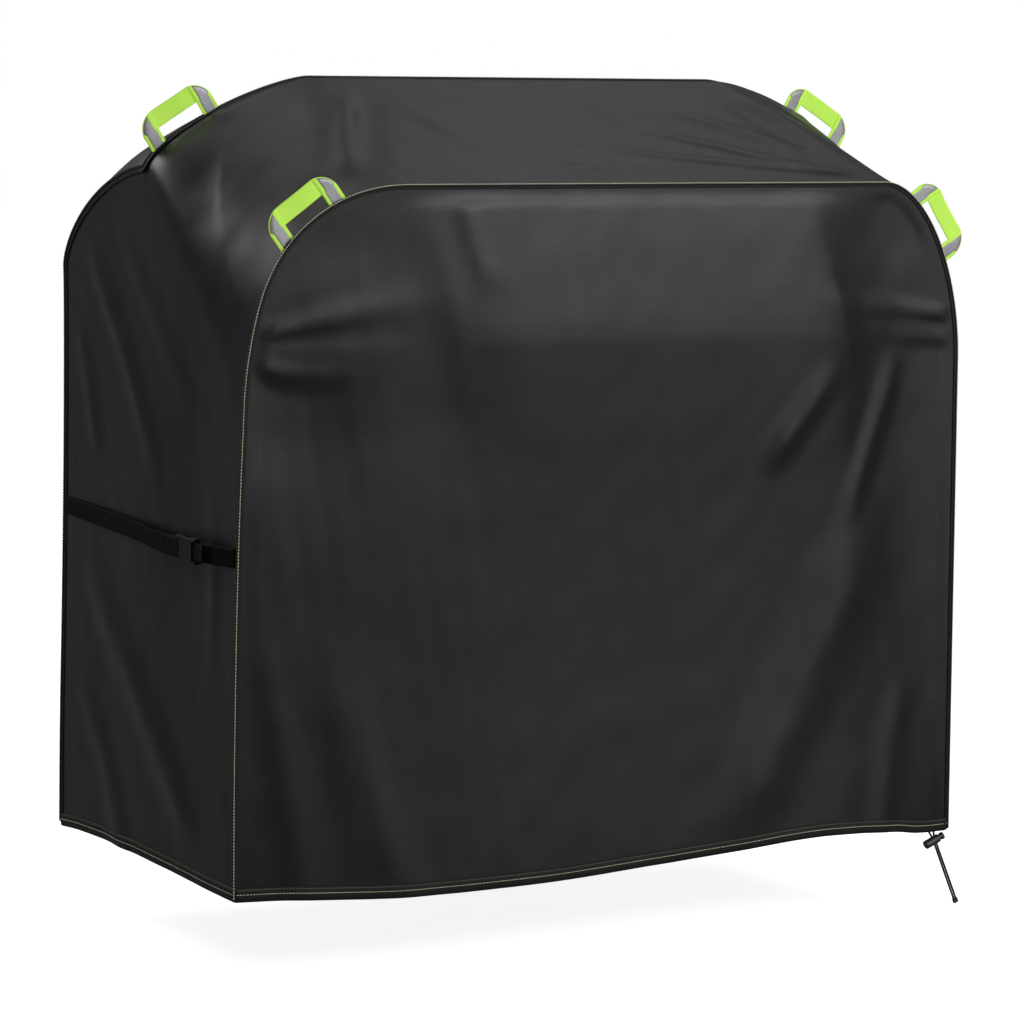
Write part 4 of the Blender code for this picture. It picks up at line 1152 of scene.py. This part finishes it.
def make_back_seam():
    flat_line = resample(BACK_SEAM[BACK_SEAM[:, 2] > 0.001], 950)
    line = settle(flat_line)
    over = flat_line[:, 1] < RIDGE_DEPTH + 0.002
    on_ridge = over[:, None]
    side_out = np.where(flat_line[:, :1] < WIDTH / 2, [[-1.0, 0, 0]], [[1.0, 0, 0]])
    outward = smooth_vectors(np.where(on_ridge, plane_outward(line), side_out))
    into_strip = unit(np.cross(unit(np.gradient(line, axis=0)), outward))
    into_strip[(into_strip[:, 1] > 0) & over] *= -1
    middle = np.array([WIDTH / 2, RIDGE_DEPTH * 0.5, MIDDLE_HEIGHT])
    wrong = ((middle - line) * into_strip).sum(axis=1) < 0
    into_strip[wrong & ~over] *= -1
    over_panel = smooth_vectors(np.where(on_ridge, -into_strip, -outward))
    panel_up = smooth_vectors(np.where(on_ridge, outward, -into_strip))
    seam_parts("back_seam", line, outward, into_strip, over_panel, panel_up,
               (BLACK_THREAD_MAT, BLACK_THREAD_MAT))


# ---- Hem, drawcord and tails ----

def hem_ring(inset, level):
    """The hem's rounded rectangle, following the panels, an inset inside their faces."""
    corner = HEM_CORNER
    corners = ((WIDTH - corner, corner, -pi / 2), (WIDTH - corner, DEPTH - corner, 0.0),
               (corner, DEPTH - corner, pi / 2), (corner, corner, pi))
    points = []
    normals = []
    for number, (cx, cy, first) in enumerate(corners):
        angles = first + np.linspace(0, pi / 2, 7)
        turn = np.stack([np.cos(angles), np.sin(angles)], axis=1)
        arc = turn * corner + [cx, cy]
        next_x, next_y, next_first = corners[(number + 1) % 4]
        facing = np.array([cos(next_first), sin(next_first)])
        count = HEM_POINTS[number % 2]
        straight = np.linspace(arc[-1], facing * corner + [next_x, next_y], count)[1:-1]
        points += [arc, straight]
        normals += [turn, np.tile(facing, (count - 2, 1))]
    ring = np.concatenate(points)
    out = np.concatenate(normals)
    place = np.stack([ring[:, 0], ring[:, 1], np.full(len(ring), level)], axis=1)
    face = np.clip(place, 0, [WIDTH, DEPTH, 1])
    bulge = np.zeros(len(ring))
    on_front = out[:, 1] < -0.99
    bulge[on_front] = front_relief(face[on_front] * [1, 0, 1])
    on_back = out[:, 1] > 0.99
    bulge[on_back] = back_relief(face[on_back] * [1, 0, 1] + [0, DEPTH, 0])
    on_side = np.abs(out[:, 0]) > 0.99
    side_face = face[on_side]
    side_face[:, 0] = np.where(out[on_side, 0] > 0, WIDTH, 0)
    bulge[on_side] = gusset_relief(side_face)
    place[:, :2] += out * (bulge - inset)[:, None]
    ground = np.stack([ring[:, 0], ring[:, 1], np.zeros(len(ring))], axis=1)
    place += settle(ground) - ground
    return place, np.concatenate([out, np.zeros((len(out), 1))], axis=1)


def make_hem():
    """The folded hem: a narrow band outside, a rounded bottom and a band inside."""
    grid = np.stack([hem_ring(inset, level)[0] for inset, level in HEM_SECTION], axis=1)
    grid = np.concatenate([grid, grid[:1]])
    down = arc_length(np.array(HEM_SECTION))
    uv = np.stack(np.meshgrid(down, arc_length(grid[:, 5])), axis=-1)[..., ::-1]
    # The hem band is given the darkened cloth: painted shade.
    obj = link_mesh("hem_band", grid, grid_faces(*grid.shape[:2], flip=True), uv, HEM_SHADED_MAT)
    weld(obj, 1e-6)
    place_piece(obj, "hem_cloth", "hem_channel")
    for name, inset, level, mat, size in (
            ("hem_thread", -0.0023, 0.0092, CREAM_MAT, HEM_STITCH),
            ("hem_upper_thread", -0.0019, HEM_HEIGHT - 0.0022, GREEN_MAT, HEM_UPPER_STITCH)):
        line, normal = (np.concatenate([ring, ring[:1]]) for ring in hem_ring(inset, level))
        place_piece(stitch_row(name, line, normal, mat, size), "lime_webbing")


def make_drawcord():
    """The cord in the hem: a ring, open where its two tails leave it."""
    ring, _ = hem_ring(CORD_INSET, CORD_LEVEL)
    on_front = (ring[:, 1] < 0.02) & (ring[:, 0] < WIDTH - 0.006)
    near = on_front & (np.abs(ring[:, 0] - CORD_EXIT.x) < CORD_START + 0.002)
    start = -int(np.argmax(near))
    line = np.roll(ring, start, axis=0)[~np.roll(near, start)]
    place_piece(tube_mesh("drawcord_braid", line, CORD_RADIUS, CORD_MAT, 8), "black_cord", "drawcord")


def tail_line(side, distance, spread=1.0):
    return CORD_EXIT + TAIL_DIRECTION * distance + ACROSS_TAIL * side * spread * TAIL_SPACING


def tail_route(side):
    """A tail's points: level in the hem, down through the slot, then the slant."""
    start = CORD_EXIT + Vector((side * CORD_START, 0.0, CORD_LEVEL))
    along_hem = Vector((-side * 0.009, 0.0, -0.0004))
    return [start, start + along_hem, tail_line(side, 0.0050, 1.5), tail_line(side, 0.020),
            tail_line(side, 0.065), tail_line(side, TAIL_LENGTH)]


def make_tails():
    for name, side in (("cord_tail_front", -1), ("cord_tail_corner", 1)):
        line = curve_through([p[:] for p in tail_route(side)], 31)
        obj = tube_mesh(f"{name}_braid", resample(line, 90), CORD_RADIUS, CORD_MAT, 12)
        place_piece(obj, "black_cord", name)


def make_lock_spring():
    """The button's return spring, with one end at the barrel and the other at the button."""
    forward = Vector(BACKWARD)
    middle = CORD_EXIT + TAIL_DIRECTION * LOCK_DISTANCE
    first, last = (middle + ACROSS_TAIL * along for along in SPRING_ENDS)
    points = []
    for share in np.linspace(0, 1, SPRING_POINTS):
        angle = 2 * pi * SPRING_TURNS * share
        swing = forward * cos(angle) + ACROSS_TAIL.cross(forward) * sin(angle)
        points.append(first.lerp(last, share) + swing * SPRING_RADIUS)
    obj = tube_mesh("cord_lock_spring_coil", points, SPRING_WIRE, STEEL_MAT, 8)
    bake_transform(obj)
    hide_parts("cord_lock_spring")


# ---- Handles ----

def handle_frame(outline, foot_x, depth):
    """A handle's origin on a seam, its direction along the seam and its direction out."""
    start = np.array([foot_x, np.interp(foot_x, outline[:, 0], outline[:, 1])])
    ahead = outline[outline[:, 0] > start[0] + 1e-4]
    far = np.hypot(*(ahead - start).T)
    end = np.array([np.interp(HANDLE_LENGTH, far, ahead[:, k]) for k in range(2)])
    along = unit(np.array([end[0] - start[0], 0.0, end[1] - start[1]]))
    out = np.array([-along[2], 0.0, along[0]])
    return np.array([start[0], depth, start[1]]) + out * HANDLE_LIFT, along, out


def make_handle(name, outline, foot_x, depth, sag):
    """Webbing folded over at 45 degrees at both corners, with silver tape on its legs."""
    origin, along, out = handle_frame(outline, foot_x, depth)
    reach = HANDLE_REACH - HANDLE_LIFT
    inner = reach - WEBBING
    foot = -HANDLE_LIFT - HANDLE_TUCK

    def rounded(u, v):
        """The folded corners, swollen into the soft curve that webbing takes."""
        first = u < HANDLE_LENGTH / 2
        near = np.where(first, WEBBING - u, u - (HANDLE_LENGTH - WEBBING))
        rise = v - inner
        far = np.hypot(near, rise) + 1e-9
        swell = np.where((near > 0) & (rise > 0), HANDLE_SWELL * ((near + rise) / far - 1), 0.0)
        return u - np.where(first, 1, -1) * near * swell, v + rise * swell

    def place(u, v, y):
        u, v = rounded(u, v)
        curve = sag * np.clip(v, 0, None) ** 2 / reach ** 2
        wave = 0.0006 * np.sin(u * 90 + sag * 4000)
        return (origin + along * u[..., None] + out * v[..., None]
                + BACKWARD * (y + curve + wave)[..., None])

    def leg(part, first, width, short, raised, thickness, mat, mirrored):
        """A strip up one leg, from its foot to the slanting fold."""
        u = first + np.broadcast_to(np.linspace(0, 1, 13)[None, :] * width, (26, 13))
        v = foot + (inner + u - short - foot) * np.linspace(0, 1, 26)[:, None]
        y = -FOLD_STEP * smoothstep(0.0, FOLD_EASE, inner + u - v) - raised
        grid = place(HANDLE_LENGTH - u, v, y)[:, ::-1] if mirrored else place(u, v, y)
        return shell(f"{name}_{part}", grid, thickness, mat, np.stack([u, v], axis=-1))

    base = (WEBBING - TAPE_WIDTH) / 2
    tape_lift = WEBBING_THICK * 0.425 + 0.0002
    for side, mirrored in (("lower", False), ("upper", True)):
        web = leg(f"leg_{side}", 0.0, WEBBING, 0.0, 0.0, HANDLE_THICK, LIME_MAT, mirrored)
        tape = leg(f"stripe_{side}", base, TAPE_WIDTH, 0.0012, tape_lift, 0.0004, TAPE_MAT, mirrored)
        for piece, slot in ((web, "lime_webbing"), (tape, "reflective_tape")):
            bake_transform(piece)
        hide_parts(f"{name}_tape_{side}")
    rise = np.broadcast_to(np.linspace(0, WEBBING, 13)[None, :], (60, 13))
    u = rise + (HANDLE_LENGTH - 2 * rise) * np.linspace(0, 1, 60)[:, None]
    y = FOLD_STEP * smoothstep(0.0, FOLD_EASE, np.minimum(u - rise, HANDLE_LENGTH - rise - u))
    grip = shell(f"{name}_grip", place(u, inner + rise, y)[:, ::-1], HANDLE_THICK, LIME_MAT,
                 np.stack([rise, u], axis=-1))
    place_piece(grip, "lime_webbing", name, body=name)


def make_handles():
    front_depth = SEAM_DEPTH + SEAM_INSET + WEBBING_THICK
    make_handle("handle_front_left", FRONT_OUTLINE, 0.068, front_depth, 0.0012)
    make_handle("handle_front_right", FRONT_OUTLINE, WIDTH - 0.084, front_depth, -0.0008)
    make_handle("handle_back_left", RIDGE_OUTLINE, 0.013, RIDGE_DEPTH, 0.0010)
    make_handle("handle_back_right", RIDGE_OUTLINE, WIDTH - 0.113, RIDGE_DEPTH, 0.0014)


# ---- Side straps ----

def beside_wall(side, out):
    """The x of something that stands out from a side wall."""
    return -out if side == "left" else WIDTH + out


def loop_path(bar_y, forward, tail):
    """Webbing round a bar, as (out, y, level), with both of its layers running back."""
    bends = [(sin(angle), cos(angle)) for angle in np.linspace(-pi / 2, pi / 2, 15)]
    path = [(STRAP_OFFSET + LOOP_RADIUS * a, bar_y + forward * LOOP_RADIUS * b, STRAP_LEVEL)
            for a, b in bends]
    inner, outer = ((STRAP_OFFSET + LOOP_RADIUS * way, bar_y - forward * tail, STRAP_LEVEL)
                    for way in (-1, 1))
    return [inner, *path, outer]


def densify(path, step):
    """The path with points about a step apart."""
    out = [path[0]]
    for a, b in zip(path, path[1:]):
        a, b = np.array(a, float), np.array(b, float)
        count = max(int(np.linalg.norm(b - a) / step), 1)
        out += [tuple(a + (b - a) * i / count) for i in range(1, count + 1)]
    return out


def make_ribbon(name, side, path, body="root"):
    """A webbing ribbon along (out, y, level), upright on the wall."""
    path = np.asarray(densify(path, 0.003), float)
    lift = np.linspace(-WEBBING / 2, WEBBING / 2, 13)
    grid = np.stack(np.broadcast_arrays(
        beside_wall(side, path[:, 0])[:, None], path[:, 1][:, None],
        path[:, 2][:, None] + lift), axis=-1)
    uv = np.stack(np.meshgrid(lift, arc_length(path)), axis=-1)
    obj = shell(f"{name}_webbing", grid, WEBBING_THICK * 0.9, BLACK_WEB_MAT, uv, edge=0.45)
    place_piece(obj, "black_webbing", name, body=body)


def box_stitch(name, side, out, centre_y):
    """A sewn square with a cross, on the strap's outer face."""
    half_y, half_z = BOX_LENGTH / 2, WEBBING / 2 - 0.004
    corners = ((-1, -1), (1, -1), (1, 1), (-1, 1), (-1, -1), (1, 1), (1, 1), (-1, 1), (1, -1))
    x = beside_wall(side, out)
    line = np.array(densify(
        [(x, centre_y + a * half_y, STRAP_LEVEL + b * half_z) for a, b in corners], 0.001))
    keep = np.concatenate([[True], np.linalg.norm(np.diff(line, axis=0), axis=1) > 1e-9])
    line = line[keep]
    normals = np.tile([-1.0 if side == "left" else 1.0, 0, 0], (len(line), 1))
    place_piece(stitch_row(name, line, normals, BLACK_THREAD_MAT, BOX_STITCH), "black_webbing")


def strap_end(side, y):
    """How far a strap's sewn end stands out, where the left wall leans in at that level."""
    leans = float(lean(np.array([0.0, y, STRAP_LEVEL]))) if side == "left" else 0.0
    return STRAP_REST - leans


def make_straps():
    bar_y = BUCKLE_FRONT + FEMALE_BAR
    clip_bar = BUCKLE_FRONT + FEMALE_LENGTH + BUCKLE_GAP + MALE_LENGTH - MALE_BAR
    under = STRAP_OFFSET - LOOP_RADIUS - WEBBING_THICK - 2 * GAP
    outer = STRAP_OFFSET + LOOP_RADIUS + WEBBING_THICK * 0.47
    level = STRAP_LEVEL
    for side in ("left", "right"):
        front = [(strap_end(side, FRONT_SEWN), FRONT_SEWN, level), *loop_path(bar_y, 1, 0.030)]
        make_ribbon(f"strap_front_{side}", side, front)
        make_ribbon(f"strap_loop_{side}", side, loop_path(clip_bar, -1, 0.058), f"clip_{side}")
        back = [(under, clip_bar + 0.006, level), (under, clip_bar + 0.10, level),
                (STRAP_REST, clip_bar + 0.16, level + STRAP_BACK_RISE * 0.3),
                (strap_end(side, DEPTH), DEPTH - 0.008, level + STRAP_BACK_RISE)]
        make_ribbon(f"strap_back_{side}", side, back)
        box_stitch(f"strap_front_box_{side}", side, outer, bar_y - 0.020)


# ---- Kept CAD parts ----

def dress(node, mat, bevel=0.0):
    obj = bpy.data.objects[node]
    if obj.data.materials:
        for slot in obj.material_slots:
            slot.material = mat
    else:
        obj.data.materials.append(mat)
    if bevel:
        change = obj.modifiers.new("edge", 'BEVEL')
        change.width = bevel
        change.segments = 2
        change.limit_method = 'ANGLE'
        change.angle_limit = radians(40)


def dress_cad():
    for side in ("left", "right"):
        for part in ("socket", "clip", "arm_upper", "arm_lower"):
            dress(f"buckle_{part}_{side}", PLASTIC_MAT, 0.0003)
    for node in ("cord_lock_barrel", "cord_lock_button", "cord_end_clip"):
        dress(node, LOCK_MAT)


# ---- Stage ----

# Softboxes: name, place, what each faces, its two sizes and its power
LIGHTS = (
    ("front_right_softbox", (2.1, -3.9, 1.60), (0.0, -0.2, -0.5), (1.7, 1.8), 108),
    ("low_front_softbox", (2.1, -3.9, -0.70), (0.0, -0.2, -0.8), (1.7, 0.6), 18),
    ("top_softbox", (1.4, 0.9, 2.3), (0.2, 0.0, 0.0), (1.6, 1.6), 7),
    ("hip_softbox", (-0.5, 1.2, 2.4), (-0.4, 0.0, 0.0), (1.6, 1.6), 9),
    ("rear_left_softbox", (-2.3, 2.7, 2.0), (-0.4, 0.0, -0.2), (2.0, 1.5), 55),
)


def area_light(name, place, target, size, energy):
    data = bpy.data.lights.new(name, 'AREA')
    data.shape = 'RECTANGLE'
    data.size, data.size_y = size
    data.energy = energy
    obj = bpy.data.objects.new(name, data)
    obj.location = place
    direction = Vector(target) - Vector(place)
    obj.rotation_euler = direction.to_track_quat('-Z', 'Y').to_euler()
    bpy.context.collection.objects.link(obj)


def make_floor():
    """A pale floor that glows a little to the camera and adds nothing to the light."""
    nodes = Nodes("studio_floor")
    grain = nodes.noise(nodes.coordinates("Object"), 14.0, 3.0)
    nodes.surface(
        nodes.ramp(grain, 0.3, (0.88,) * 3, 0.7, (0.93,) * 3), nodes.spread(grain, 0.85, 0.95),
        Specular_IOR_Level=0.1, Emission_Color=(1, 1, 1, 1), Emission_Strength=0.88)
    level = -HEIGHT + CLOTH - FLOOR_DROP
    corners = [(x * FLOOR_REACH, y * FLOOR_REACH, level)
               for x, y in ((-1, -1), (1, -1), (1, 1), (-1, 1))]
    mesh = bpy.data.meshes.new("floor")
    mesh.from_pydata(corners, [], [(0, 1, 2, 3)])
    mesh.materials.append(nodes.material)
    floor = bpy.data.objects.new("floor", mesh)
    bpy.context.collection.objects.link(floor)
    floor.visible_glossy = False
    floor.visible_diffuse = False


def make_world():
    """A white backdrop that lights the object more softly than it looks."""
    world = bpy.data.worlds.new("studio")
    bpy.context.scene.world = world
    world.use_nodes = True
    tree = world.node_tree
    background = tree.nodes["Background"]
    backdrop = tree.nodes.new('ShaderNodeBackground')
    for node, strength in ((background, WORLD_LIGHT), (backdrop, WORLD_SEEN)):
        node.inputs["Color"].default_value = (1, 1, 1, 1)
        node.inputs["Strength"].default_value = strength
    path = tree.nodes.new('ShaderNodeLightPath')
    mix = tree.nodes.new('ShaderNodeMixShader')
    tree.links.new(path.outputs["Is Camera Ray"], mix.inputs[0])
    tree.links.new(background.outputs[0], mix.inputs[1])
    tree.links.new(backdrop.outputs[0], mix.inputs[2])
    tree.links.new(mix.outputs[0], tree.nodes["World Output"].inputs["Surface"])


make_tails()
make_lock_spring()
make_drawcord()
front_sheet = make_front_sheet()
gusset = make_gusset()
back_sheet = make_back_sheet()
make_front_seam()
make_back_seam()
make_hem()
make_handles()
make_straps()
dress_cad()
make_floor()
make_world()
for light in LIGHTS:
    area_light(*light)
bpy.context.scene.view_settings.view_transform = 'Standard'
